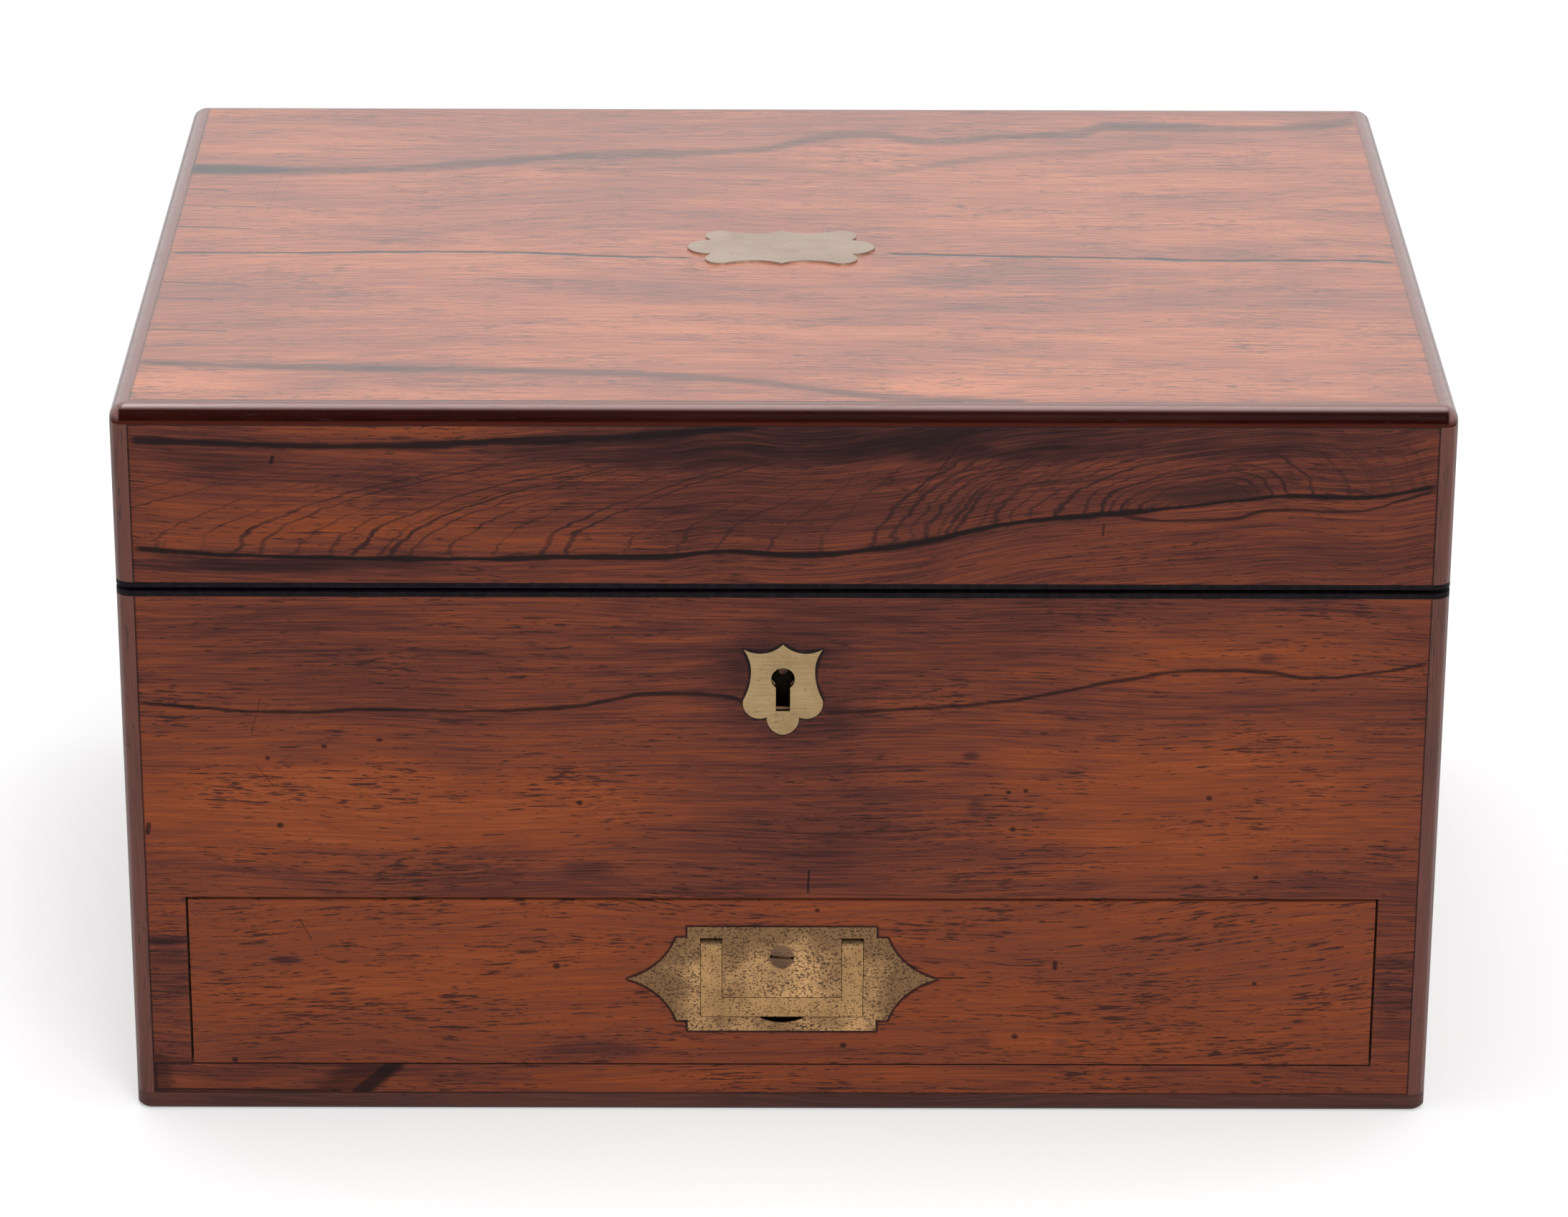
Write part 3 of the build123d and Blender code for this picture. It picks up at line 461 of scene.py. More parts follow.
@dataclass(frozen=True)
class Rosewood(Finish):
    """Waxed rosewood with its clouds, bands, pores, black lines and marks."""

    lie: Lie
    tones: Tones = WOOD_TONES
    tone: float = 0.55
    swing: float = 1.0
    wave: float = 14.0
    band: float = 0.33
    streaks: tuple[Streak, ...] = ()
    clouds: tuple[Cloud, ...] = ()
    marks: tuple[Mark, ...] = ()
    halos: tuple[Halo, ...] = ()
    flow: Line = ()
    flame: Flame | None = None
    pores: float = 0.5
    pore_tone: Colour = (0.034, 0.014, 0.013)
    pore_depth: float = 0.85
    cut: float = 4.0
    black: Colour = (0.009, 0.006, 0.007)
    gloss: float = 0.4
    shine: float = 0.08
    coat: float = 0.0
    coat_rough: float = 0.12
    relief: float = 0.03
    # Painted light: how much lighter the wood is made behind the front plane, which lies between the two Y
    # values of behind.
    painted_light_away: float = 0.0
    behind: Point = (-107.5, -105.0)
    # Painted highlight along the outer front edge of a corner moulding (rim), and painted reflection on the
    # faces of a moulding that look up (level tone).
    rim: Point | None = None
    rim_front: Point = (-109.0, -110.0)
    rim_highlight_tone: Colour = (0.46, 0.34, 0.31)
    level_highlight_tone: Colour | None = None
    seed: float = 0.0

    def make(self, g: Coat) -> None:
        """Build the finish.

        Args:
            g: Its empty material.
        """
        along, across, front = self.places(g)
        place = (along, across)
        lifted = (along, self.lift(g, place, front))
        layers = [
            (self.grain(g, lifted, long, over, step), share)
            for long, over, step, share in (
                (0.010, 0.040, 3, 0.8), (0.007, self.band, 7, 0.4),
                (0.024, 0.9, 11, 0.5), (0.06, 2.4, 15, 1.0),
            )
        ]
        fibre = layers[-1][0]
        # Painted light: wood behind the front plane is lighter by the away share, as on side and back
        # mouldings that catch more light.
        tone = g.add(self.tone, g.times(g.fade(g.millimetres()[1], *self.behind), self.painted_light_away))
        for layer, share in layers:
            tone = g.add(tone, g.swing(layer, share * self.swing))
        for patch in self.clouds:
            tone = g.less(tone, g.times(self.cloud(g, place, patch), g.times(patch.depth, front)))
        colour = g.ramp(tone, self.tones)
        dashes = self.dashes(g, lifted)
        colour = g.blend(g.times(dashes, self.pore_depth), colour, self.pore_tone)
        colour, coat = self.paint_edge_highlights(g, colour)
        if self.flame is not None:
            colour = g.blend(g.times(self.flames(g, place, self.flame), front), colour, self.pore_tone)
        lines, sunk = self.drawn(g, place)
        if lines:
            shown = g.most(*lines) if self.lie is not Lie.ROUND else g.times(g.most(*lines), front)
            colour = g.blend(shown, colour, self.black)
        rough = g.fade(fibre, 0.3, 0.7, self.gloss + 0.06, self.gloss - 0.04)
        g.dress(colour, rough, Specular_IOR_Level=self.shine, Coat_Roughness=self.coat_rough)
        g.feed(g.shader, {"Coat Weight": coat})
        height = g.less(fibre, g.times(dashes, 0.8))
        if sunk:
            height = g.less(height, g.times(g.most(*sunk), self.cut))
        g.relief(height, self.relief)

    def places(self, g: Coat) -> tuple[Socket, Socket, Socket]:
        """Find the grain's directions.

        Args:
            g: The finish's material.

        Returns:
            Where a point lies along the grain and across it, and how much it faces the front or the top.
        """
        x, y, z = g.millimetres()
        turned = g.facing()
        if self.lie is Lie.TOP:
            return x, y, g.fade(turned[2], 0.5, 0.7)
        front = g.fade(turned[1], -0.5, -0.7)
        if self.lie is Lie.FRONT:
            return x, z, front
        if self.lie is Lie.UPRIGHT:
            return z, g.add(x, y), front
        side = g.math("GREATER_THAN", g.far(turned[0]), 0.7)
        along = g.add(g.times(x, g.less(1.0, side)), g.times(y, side))
        up = g.add(z, g.times(y, g.times(g.fade(turned[2], 0.6, 0.8), g.less(1.0, side))))
        return along, up, front

    def lift(self, g: Coat, place: Spot, front: Socket) -> Socket:
        """Bend the grain as it flows and drifts.

        Args:
            g: The finish's material.
            place: A point along and across the grain.
            front: How much it faces the front.

        Returns:
            Where it lies across the bent grain.
        """
        along, across = place
        lifted = across
        if self.flow:
            heights = [height for _, height in self.flow]
            flow = g.curve(along, self.flow, min(heights) - 1.0, max(heights) + 1.0)
            lifted = g.less(across, g.times(flow, front))
        drift = self.fray(g, place, 0.009, 0.02, 0, 1.0)
        return g.add(lifted, g.swing(drift, self.wave))

    def grain(
        self, g: Coat, place: Spot, along: float, across: float, step: float, detail: float = 4.0,
        rough: float = 0.56,
    ) -> Socket:
        """Noise drawn out along the grain.

        Args:
            g: The finish's material.
            place: Where it is read, along and across the grain.
            along: Changes in a millimetre along.
            across: Changes in a millimetre across.
            step: Keeps this noise apart from the others.
            detail: How many finer layers it has.
            rough: How strong the finer layers are.

        Returns:
            A value near one half.
        """
        spot = g.vector(g.times(place[0], along), g.times(place[1], across), self.seed + step)
        return g.noise(spot, detail=detail, rough=rough)

    def fray(
        self, g: Coat, place: Spot, along: float, across: float, step: float, detail: float = 3.0
    ) -> Socket:
        """Softer noise, as grain takes it, that frays or bends what is drawn."""
        return self.grain(g, place, along, across, step, detail, 0.5)

    def dashes(self, g: Coat, lifted: Spot) -> Socket:
        """Long and short pores, closer together here and there.

        Args:
            g: The finish's material.
            lifted: A point along and across the bent grain.

        Returns:
            How dark it is.
        """
        crowding = self.grain(g, lifted, 0.03, 0.1, 19)
        long_pore = self.grain(g, lifted, 0.11, 1.45, 23)
        short_pore = self.grain(g, lifted, 0.24, 2.1, 29)
        crowd = g.swing(crowding, 0.35)
        level = 0.345 + 0.08 * self.pores
        return g.most(
            g.fade(g.add(long_pore, crowd), level, level - 0.035),
            g.fade(g.add(short_pore, crowd), level - 0.01, level - 0.045),
        )

    def paint_edge_highlights(self, g: Coat, colour: Socket) -> tuple[Socket, Value]:
        """Paint highlights onto a moulding: a pale reflection on the faces that look up, and a pale
        highlight along the outer front edge of a corner moulding.

        Args:
            g: The finish's material.
            colour: The colour of its wood.

        Returns:
            The new colour with its painted highlights, and the coat weight, which is left off faces that
            look to the front.
        """
        coat: Value = self.coat
        # Painted reflection: faces that look up, and the rounded ends of the side mouldings, take the paler
        # level tone; the coat is left off faces that look to the front.
        if self.level_highlight_tone is not None:
            turned = g.facing()
            ends = g.times(g.fade(turned[2], 0.0, 0.35), g.fade(g.far(turned[0]), 0.25, 0.45))
            level = g.most(g.fade(turned[2], 0.68, 0.93), ends)
            colour = g.blend(g.times(level, 0.92), colour, self.level_highlight_tone)
            coat = g.fade(turned[1], -0.72, -0.45, 0.0, self.coat)
        # Painted highlight: a pale line along the outer front edge of the corner mouldings.
        if self.rim is not None:
            side = g.fade(g.far(g.millimetres()[0]), *self.rim)
            lit_rim = g.times(side, g.fade(g.millimetres()[1], *self.rim_front))
            colour = g.blend(g.times(lit_rim, 0.7), colour, self.rim_highlight_tone)
        return colour, coat

    def drawn(self, g: Coat, place: Spot) -> tuple[list[Socket], list[Socket]]:
        """Draw the black lines, the marks and the soiled joints round let-in plates.

        Args:
            g: The finish's material.
            place: A point along and across the grain.

        Returns:
            How dark it is in each kind, and those kinds that are sunk into the wood.
        """
        lines, sunk = [], []
        for streak in self.streaks:
            lines.append(self.line(g, place, streak))
            if streak.sunk:
                sunk.append(lines[-1])
        if self.marks:
            spot = g.vector(*place)
            lines.append(g.gather(self.mark(g, spot, mark) for mark in self.marks))
            sunk.append(lines[-1])
        lines.extend(self.halo(g, place, halo) for halo in self.halos)
        return lines, sunk

    def cloud(self, g: Coat, place: Spot, patch: Cloud) -> Socket:
        """Draw one soft patch.

        Args:
            g: The finish's material.
            place: A point along and across the grain.
            patch: The patch.

        Returns:
            How deep the point lies in it.
        """
        a = g.times(g.less(place[0], patch.along), 1 / patch.long)
        b = g.times(g.less(place[1], patch.across), 1 / patch.wide)
        torn = self.fray(g, place, 0.05, 0.2, 31)
        return g.fade(g.add(g.reach(a, b), g.swing(torn, patch.ragged)), 1.15, 0.35)

    def line(self, g: Coat, place: Spot, streak: Streak) -> Socket:
        """Draw one growth line or crack.

        Args:
            g: The finish's material.
            place: A point along and across the grain.
            streak: The line.

        Returns:
            How dark the point is in it.
        """
        along, across = place
        heights = [height for _, height in streak.line]
        centre = g.curve(along, streak.line, min(heights) - 2.0, max(heights) + 2.0)
        shake = self.fray(g, place, 0.16, 0.5, 41)
        off = g.far(g.add(g.less(across, centre), g.swing(shake, streak.waver)))
        width = g.noise(g.vector(g.times(along, 0.045), self.seed + 43, streak.half), detail=2.0)
        half = g.times(streak.half, g.fade(width, 0.25, 0.75, 0.4, 1.7))
        inside = g.fade(off, g.add(half, streak.soft), g.times(half, 0.5))
        start, end = streak.line[0][0], streak.line[-1][0]
        kept = g.times(g.fade(along, start - 1.0, start + 2.0), g.fade(along, end + 1.0, end - 2.0))
        return g.times(g.times(inside, kept), streak.depth)

    def mark(self, g: Coat, spot: Socket, mark: Mark) -> Socket:
        """How dark a point is in a scratch or a stain."""
        near = g.segment(spot, (mark.along, mark.across), (mark.end_along, mark.end_across))
        return g.fade(near, mark.half * 1.4, mark.half * 0.5, 0.0, mark.depth)

    def halo(self, g: Coat, place: Spot, halo: Halo) -> Socket:
        """Draw the soiled joint round one let-in plate.

        Args:
            g: The finish's material.
            place: A point along and across the grain.
            halo: The soiled joint.

        Returns:
            How dark the point is in it.
        """
        across = g.far(g.less(place[0], halo.middle[0]))
        up = g.less(place[1], halo.middle[1])
        spot = g.vector(across, g.far(up) if halo.level else up)
        sides = zip(halo.outline, halo.outline[1:])
        near = g.gather((g.segment(spot, start, end) for start, end in sides), "MINIMUM")
        near = g.less(near, g.swing(self.fray(g, place, 0.7, 0.9, 61, 2.0), halo.half))
        return g.times(g.fade(near, halo.half * 1.8, halo.half * 0.5), halo.depth)

    def flames(self, g: Coat, place: Spot, flame: Flame) -> Socket:
        """Draw the curved lines between the foot and the head.

        Args:
            g: The finish's material.
            place: A point along and across the grain.
            flame: The lines.

        Returns:
            How dark the point is in them.
        """
        along, across = place
        foot = g.curve(along, flame.foot, 135.0, 165.0)
        head = g.curve(along, flame.head, 160.0, 180.0)
        share = g.math("DIVIDE", g.less(across, foot), g.less(head, foot))
        held = g.math("MINIMUM", g.most(share, 0.0), 1.0)
        shake = self.fray(g, place, 0.07, 0.2, 47, 4.0)
        swept = g.less(along, g.times(g.math("POWER", held, flame.bend), flame.sweep))
        off = g.less(along, flame.eye[0])
        side = g.add(g.most(g.times(off, flame.near_side), 0.0), g.math("MINIMUM", off, 0.0))
        over = g.times(g.most(g.less(across, foot), 0.0), flame.flat)
        ringed = g.less(flame.eye[0], g.reach(side, over))
        mix = g.fade(along, *flame.meet)
        course = g.add(g.times(swept, g.less(1.0, mix)), g.times(ringed, mix))
        kinks = self.fray(g, place, 0.3, 0.7, 59, 2.0)
        course = g.add(course, g.add(g.swing(shake, 7.0), g.swing(kinks, 2.2)))
        broken = self.fray(g, place, 0.05, 0.12, 53)
        faint, bold, nest = (
            g.gather(g.fade(g.far(g.less(course, spot)), half * 3.3, half) for spot in spots)
            for spots, half in ((flame.faint, 0.21), (flame.bold, 0.32), (flame.nest, 0.28))
        )
        lines = g.most(*(
            g.times(g.times(drawn, g.fade(broken, 0.3, *gaps)), g.fade(along, *ends))
            for drawn, gaps, ends in (
                (nest, (0.6, 0.5, 1.0), (131.0, 122.0)),
                (faint, (0.65, 0.2, 0.75), (102.0, 94.0)),
                (bold, (0.6, 0.4, 0.95), (136.0, 116.0, 0.35, 1.0)),
            )
        ))
        inside = g.times(g.fade(share, 0.0, 0.04), g.fade(share, 1.05, 0.75))
        eye = self.cloud(g, place, Cloud(*flame.eye, 18.0, 4.0, 1.0, 0.6))
        return g.most(g.times(lines, inside), g.times(g.times(eye, 0.75), g.fade(share, 0.0, 0.05)))


@dataclass(frozen=True)
class PlainWood(Finish):
    """Plain timber, lightly grained."""

    light: Colour
    dark: Colour
    rough: float = 0.6

    def make(self, g: Coat) -> None:
        """Build the finish.

        Args:
            g: Its empty material.
        """
        place = g.millimetres()
        grain = g.stretched(place, (0.02, 0.25, 0.6), 4.0)
        fine = g.stretched(place, (0.2, 2.0, 3.0), 3.0)
        colour = g.blend(g.fade(g.add(grain, g.times(fine, 0.4)), 0.45, 0.95), self.dark, self.light)
        g.dress(colour, self.rough, Specular_IOR_Level=0.3)
        g.relief(fine, 0.05)


# --- metal, glass and cloth
@dataclass(frozen=True)
class Brass(Finish):
    """Old brass: drawn or filed lines along X, freckles, rubbed clouds, and painted shade along one axis
    where it is set.
    """

    light: Colour
    dark: Colour
    freckle: Colour
    freckles: float = 0.4
    brushed: float = 0.3
    rough: float = 0.4
    tips: Point | None = None
    upper: Point = (37.0, 48.0)
    pitted: Point | None = None
    # Painted shade: along one axis (index, start, full) the colour darkens towards the shade tone, for
    # parts sunk in a recess, in a gap or deep in the keyhole.
    painted_shade: tuple[int, float, float] | None = None
    black: float = 0.97
    shade_tone: Colour = (0.004, 0.003, 0.003)

    def make(self, g: Coat) -> None:
        """Build the finish.

        Args:
            g: Its empty material.
        """
        place = g.millimetres()
        cloud = g.noise(g.vector(*place), scale=0.11, detail=3.0)
        lines = g.stretched(place, (0.12, 5.0, 5.0), 3.0)
        ticks = g.stretched(place, (2.0, 2.7, 2.8), 2.0, 0.6)
        crowd = g.stretched(place, (0.15, 0.3, 0.3), 2.0)
        tone = g.add(g.swing(cloud, 0.9), g.swing(lines, self.brushed * 2.0))
        if self.tips is not None:
            tone = g.less(tone, g.fade(g.far(place[0]), *self.tips, 0.0, 0.5))
            tone = g.less(tone, g.fade(place[2], *self.upper, 0.0, 0.35))
        colour = g.blend(g.fade(tone, -0.3, 0.3), self.dark, self.light)
        level = 0.30 + 0.16 * self.freckles
        spots = g.fade(g.add(ticks, g.swing(crowd, 0.14)), level + 0.03, level - 0.02)
        if self.pitted is not None:
            near = g.reach(g.less(place[0], self.pitted[0]), g.less(place[2], self.pitted[1]))
            pits = g.fade(g.noise(g.vector(*place), scale=2.2), 0.36, 0.3)
            spots = g.most(spots, g.times(pits, g.fade(near, 9.0, 3.0)))
        colour = g.blend(g.times(spots, 0.88), colour, self.freckle)
        # Painted shade: darker along one axis, towards the shade tone.
        if self.painted_shade is not None:
            axis, clear, deep = self.painted_shade
            colour = g.blend(g.fade(place[axis], clear, deep, 0.0, self.black), colour, self.shade_tone)
        g.dress(colour, g.fade(ticks, 0.3, 0.7, self.rough + 0.12, self.rough - 0.05), Metallic=1.0)
        g.relief(g.add(g.times(lines, 0.4), g.times(ticks, 0.7)), 0.03)


@dataclass(frozen=True)
class Plain(Finish):
    """A finish of one colour with a slight grain, as ebonised wood, steel or paper."""

    light: Colour
    dark: Colour
    rough: float = 0.45
    metallic: float = 0.0
    grain: float = 0.6
    relief: float = 0.02
    shine: float = 0.5

    def make(self, g: Coat) -> None:
        """Build the finish.

        Args:
            g: Its empty material.
        """
        mottle = g.noise(g.vector(*g.millimetres()), scale=self.grain, detail=4.0)
        colour = g.blend(g.fade(mottle, 0.3, 0.7), self.dark, self.light)
        rough = g.fade(mottle, 0.3, 0.7, self.rough + 0.08, self.rough)
        g.dress(colour, rough, Metallic=self.metallic, Specular_IOR_Level=self.shine)
        g.relief(mottle, self.relief)


@dataclass(frozen=True)
class Nap(Finish):
    """Velvet or baize: a short pile with crushed patches and a sheen at its edges."""

    light: Colour
    dark: Colour
    sheen: float = 0.6
    pile: float = 2.6

    def make(self, g: Coat) -> None:
        """Build the finish.

        Args:
            g: Its empty material.
        """
        place = g.vector(*g.millimetres())
        crushed = g.noise(place, scale=0.05, detail=3.0, warp=0.6)
        tufts = g.noise(place, scale=self.pile)
        tone = g.add(g.times(crushed, 1.1), g.swing(tufts, 0.9))
        colour = g.blend(g.fade(tone, 0.3, 0.8), self.dark, self.light)
        rough = g.fade(crushed, 0.3, 0.7, 0.95, 0.8)
        g.dress(colour, rough, Sheen_Weight=self.sheen, Sheen_Roughness=0.35, Specular_IOR_Level=0.1)
        g.relief(tufts, 0.25)


@dataclass(frozen=True)
class ClearGlass(Finish):
    """Clear jar glass, faintly rippled."""

    def make(self, g: Coat) -> None:
        """Build the finish.

        Args:
            g: Its empty material.
        """
        ripple = g.noise(g.vector(*g.millimetres()), scale=0.05, detail=1.0)
        g.dress((0.96, 0.985, 0.98), g.fade(ripple, 0.3, 0.7, 0.02, 0.05), Transmission_Weight=1.0, IOR=1.5)
        g.relief(ripple, 0.05)


# --- shaping
def placed(name: str, data: bpy.types.ID) -> bpy.types.Object:
    """Put a new object in the scene.

    Args:
        name: Its name.
        data: Its mesh, light or camera.

    Returns:
        The object.
    """
    made = bpy.data.objects.new(name, data)
    bpy.context.scene.collection.objects.link(made)
    return made


def modified(piece: bpy.types.Object, kind: str, **settings: float | str) -> bpy.types.Modifier:
    """Give a piece a modifier.

    Args:
        piece: The piece.
        kind: The modifier's type.
        **settings: Its settings.

    Returns:
        The modifier.
    """
    modifier = piece.modifiers.new(kind.lower(), kind)
    for key, value in settings.items():
        setattr(modifier, key, value)
    return modifier


class Shape:
    """A mesh in the making, in millimetres, shaped with operators."""

    def __init__(self) -> None:
        """Start empty."""
        self.mesh = bmesh.new()

    def block(self, low: Place, high: Place) -> None:
        """Add a box between two corners.

        Args:
            low: Its lowest corner.
            high: Its highest corner.
        """
        verts = bmesh.ops.create_cube(self.mesh, size=1.0)["verts"]
        bmesh.ops.scale(self.mesh, vec=[b - a for a, b in zip(low, high)], verts=verts)
        bmesh.ops.translate(self.mesh, vec=[(a + b) / 2 for a, b in zip(low, high)], verts=verts)

    def round_over(self, edges: Iterable[bmesh.types.BMEdge], radius: float, segments: int) -> None:
        """Round some edges over.

        Args:
            edges: The edges.
            radius: The radius.
            segments: How many flats the round has.
        """
        bmesh.ops.bevel(
            self.mesh, geom=list(edges), offset=radius, offset_type="OFFSET", segments=segments,
            profile=0.5, affect="EDGES", material=-1, clamp_overlap=True,
        )

    @staticmethod
    def rise(edge: bmesh.types.BMEdge) -> float:
        """How much higher one end of an edge stands than the other."""
        return abs(edge.verts[0].co.z - edge.verts[1].co.z)

    def upright(self) -> list[bmesh.types.BMEdge]:
        """The edges that stand upright."""
        return [e for e in self.mesh.edges if self.rise(e) > e.calc_length() * STRAIGHT]

    def facing(self, up: float) -> bmesh.types.BMFace:
        """The large level face that looks up (1) or down (-1), the highest or the lowest."""
        level = [f for f in self.mesh.faces if f.normal.z * up > STRAIGHT]
        return max(level, key=lambda f: (round(f.calc_center_median().z * up, 3), f.calc_area()))

    def step_in(self, face: bmesh.types.BMFace, inset: float) -> None:
        """Draw a face in from its rim."""
        bmesh.ops.inset_region(self.mesh, faces=[face], thickness=inset, use_even_offset=True)

    def pull(self, face: bmesh.types.BMFace, rise: float) -> bmesh.types.BMFace:
        """Draw a face straight up or down with new walls.

        Args:
            face: The face.
            rise: How far it goes up, or down if below zero.

        Returns:
            The face at the end of the walls.
        """
        made = bmesh.ops.extrude_discrete_faces(self.mesh, faces=[face])["faces"][0]
        bmesh.ops.translate(self.mesh, vec=(0.0, 0.0, rise), verts=made.verts)
        return made

    def draw_in(self, face: bmesh.types.BMFace, corners: Point, inset: float, rise: float) -> None:
        """Give a round-cornered face a smaller copy of itself, raised from it.

        Args:
            face: The face.
            corners: The radius of its corners before and after.
            inset: How far its sides come in.
            rise: How far it is raised.
        """
        bmesh.ops.inset_region(self.mesh, faces=[face], thickness=0.0)
        centre = face.calc_center_median()
        half = [max(abs(vert.co[axis] - centre[axis]) for vert in face.verts) for axis in (0, 1)]
        for vert in face.verts:
            for axis in (0, 1):
                side = math.copysign(1.0, vert.co[axis] - centre[axis])
                bend = (abs(vert.co[axis] - centre[axis]) - half[axis] + corners[0]) / corners[0]
                vert.co[axis] = centre[axis] + side * (half[axis] - inset - corners[1] + bend * corners[1])
            vert.co.z += rise

    def ring_out(self, face: bmesh.types.BMFace, centre: Point, radius: float) -> None:
        """Bring a face's rim onto a circle.

        Args:
            face: The face.
            centre: The circle's middle.
            radius: Its radius.
        """
        count = len(face.verts)
        first = face.verts[0].co
        start = math.atan2(first.y - centre[1], first.x - centre[0])
        for index, vert in enumerate(face.verts):
            angle = start + index * math.tau / count
            vert.co.x = centre[0] + radius * math.cos(angle)
            vert.co.y = centre[1] + radius * math.sin(angle)

    def spun(self, profile: Sequence[Point], centre: Point, steps: int) -> None:
        """A turned shape.

        Args:
            profile: Radius and height along the outline, starting and ending on the middle line.
            centre: Where the middle line stands.
            steps: Faces round the turn.
        """
        verts = [self.mesh.verts.new((centre[0] + r, centre[1], z)) for r, z in profile]
        edges = [self.mesh.edges.new(pair) for pair in zip(verts, verts[1:])]
        bmesh.ops.spin(
            self.mesh, geom=verts + edges, cent=(*centre, 0.0), axis=(0.0, 0.0, 1.0), angle=math.tau,
            steps=steps, use_merge=True,
        )
        bmesh.ops.remove_doubles(self.mesh, verts=self.mesh.verts, dist=MERGE)
        bmesh.ops.recalc_face_normals(self.mesh, faces=self.mesh.faces)

    def give(self, name: str) -> bpy.types.Mesh:
        """End the shaping.

        Args:
            name: The mesh's name.

        Returns:
            The mesh.
        """
        mesh = bpy.data.meshes.new(name)
        self.mesh.to_mesh(mesh)
        self.mesh.free()
        return mesh

    def piece(self, name: str, finish: Finish, smooth: bool = True) -> bpy.types.Object:
        """Make the mesh an object of the scene, in the frame's own place.

        Args:
            name: The piece's name.
            finish: What it wears.
            smooth: Whether its faces are shaded as curved.

        Returns:
            The new piece.
        """
        bmesh.ops.scale(self.mesh, vec=(MM, MM, MM), verts=self.mesh.verts)
        bmesh.ops.recalc_face_normals(self.mesh, faces=self.mesh.faces)
        mesh = self.give(name)
        for face in mesh.polygons:
            face.use_smooth = smooth
        mesh.materials.append(finish.material())
        return placed(name, mesh)


def limits(node: str) -> tuple[Place, Place]:
    """Lowest and highest corners of a CAD node, in millimetres."""
    low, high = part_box(node)
    return tuple(low / MM), tuple(high / MM)


def middle(node: str) -> Point:
    """Where the middle of a CAD node stands, in millimetres."""
    low, high = limits(node)
    return (low[0] + high[0]) / 2, (low[1] + high[1]) / 2


class Assembly:
    """A part of the box that dresses its own CAD nodes and builds its own pieces."""

    wears: ClassVar[dict[Finish, tuple[str, ...]]] = {}

    def build(self) -> None:
        """Dress the part's CAD nodes, and build its own pieces."""
        for finish, nodes in self.wears.items():
            for node in nodes:
                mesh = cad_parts[node].data
                mesh.materials.clear()
                mesh.materials.append(finish.material())
                for face in mesh.polygons:
                    face.material_index = 0
                log.info("%s wears %s", node, finish.name)
        self.make_pieces()

    def make_pieces(self) -> None:
        """Build the pieces that the part adds; most parts add none."""

    def settle(self, piece: bpy.types.Object, body: str, slot: str, *stands_for: str) -> None:
        """Fix a new piece to its body.

        Args:
            piece: The piece.
            body: The body.
            slot: The name of its material slot; not used.
            *stands_for: The CAD nodes that it stands for.
        """
        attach(piece, body)
        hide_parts(*stands_for)
        log.info("%s rides on %s and stands for %s", piece.name, body, ", ".join(stands_for))


# --- camera, floor and light
@dataclass(frozen=True)
class Viewpoint:
    """Where the photograph was taken from."""

    place: Place = (-5.53, -1352.24, 652.97)
    pitch: float = 22.893
    yaw: float = 0.2624
    roll: float = 0.2368
    lens: float = 135.43
    sensor: float = 36.0
    clip: Point = (0.05, 20.0)

    def build(self) -> None:
        """Make the camera and make it the scene's own."""
        data = bpy.data.cameras.new("photo_camera")
        data.lens = self.lens
        data.sensor_width = self.sensor
        data.clip_start, data.clip_end = self.clip
        camera = placed("photo_camera", data)
        pitch, yaw, roll = (math.radians(angle) for angle in (self.pitch, self.yaw, self.roll))
        ahead = Vector((math.sin(yaw) * math.cos(pitch), math.cos(yaw) * math.cos(pitch), -math.sin(pitch)))
        level = ahead.cross(Vector((0.0, 0.0, 1.0))).normalized()
        right = level * math.cos(roll) + level.cross(ahead) * math.sin(roll)
        turn = Matrix((right, right.cross(ahead), -ahead)).transposed()
        camera.matrix_world = Matrix.Translation(Vector(self.place) * MM) @ turn.to_4x4()
        bpy.context.scene.camera = camera


@dataclass(frozen=True)
class Lamp:
    """A square soft lamp that looks at the box, with its sizes in metres."""

    name: str
    place: Place
    size: Point
    power: float
    aim: Place = (0.0, 0.0, 0.09)

    def build(self) -> None:
        """Make the lamp."""
        data = bpy.data.lights.new(self.name, "AREA")
        data.shape = "RECTANGLE"
        data.size, data.size_y = self.size
        data.energy = self.power
        lamp = placed(self.name, data)
        lamp.location = self.place
        lamp.rotation_euler = (Vector(self.aim) - Vector(self.place)).to_track_quat("-Z", "Y").to_euler()


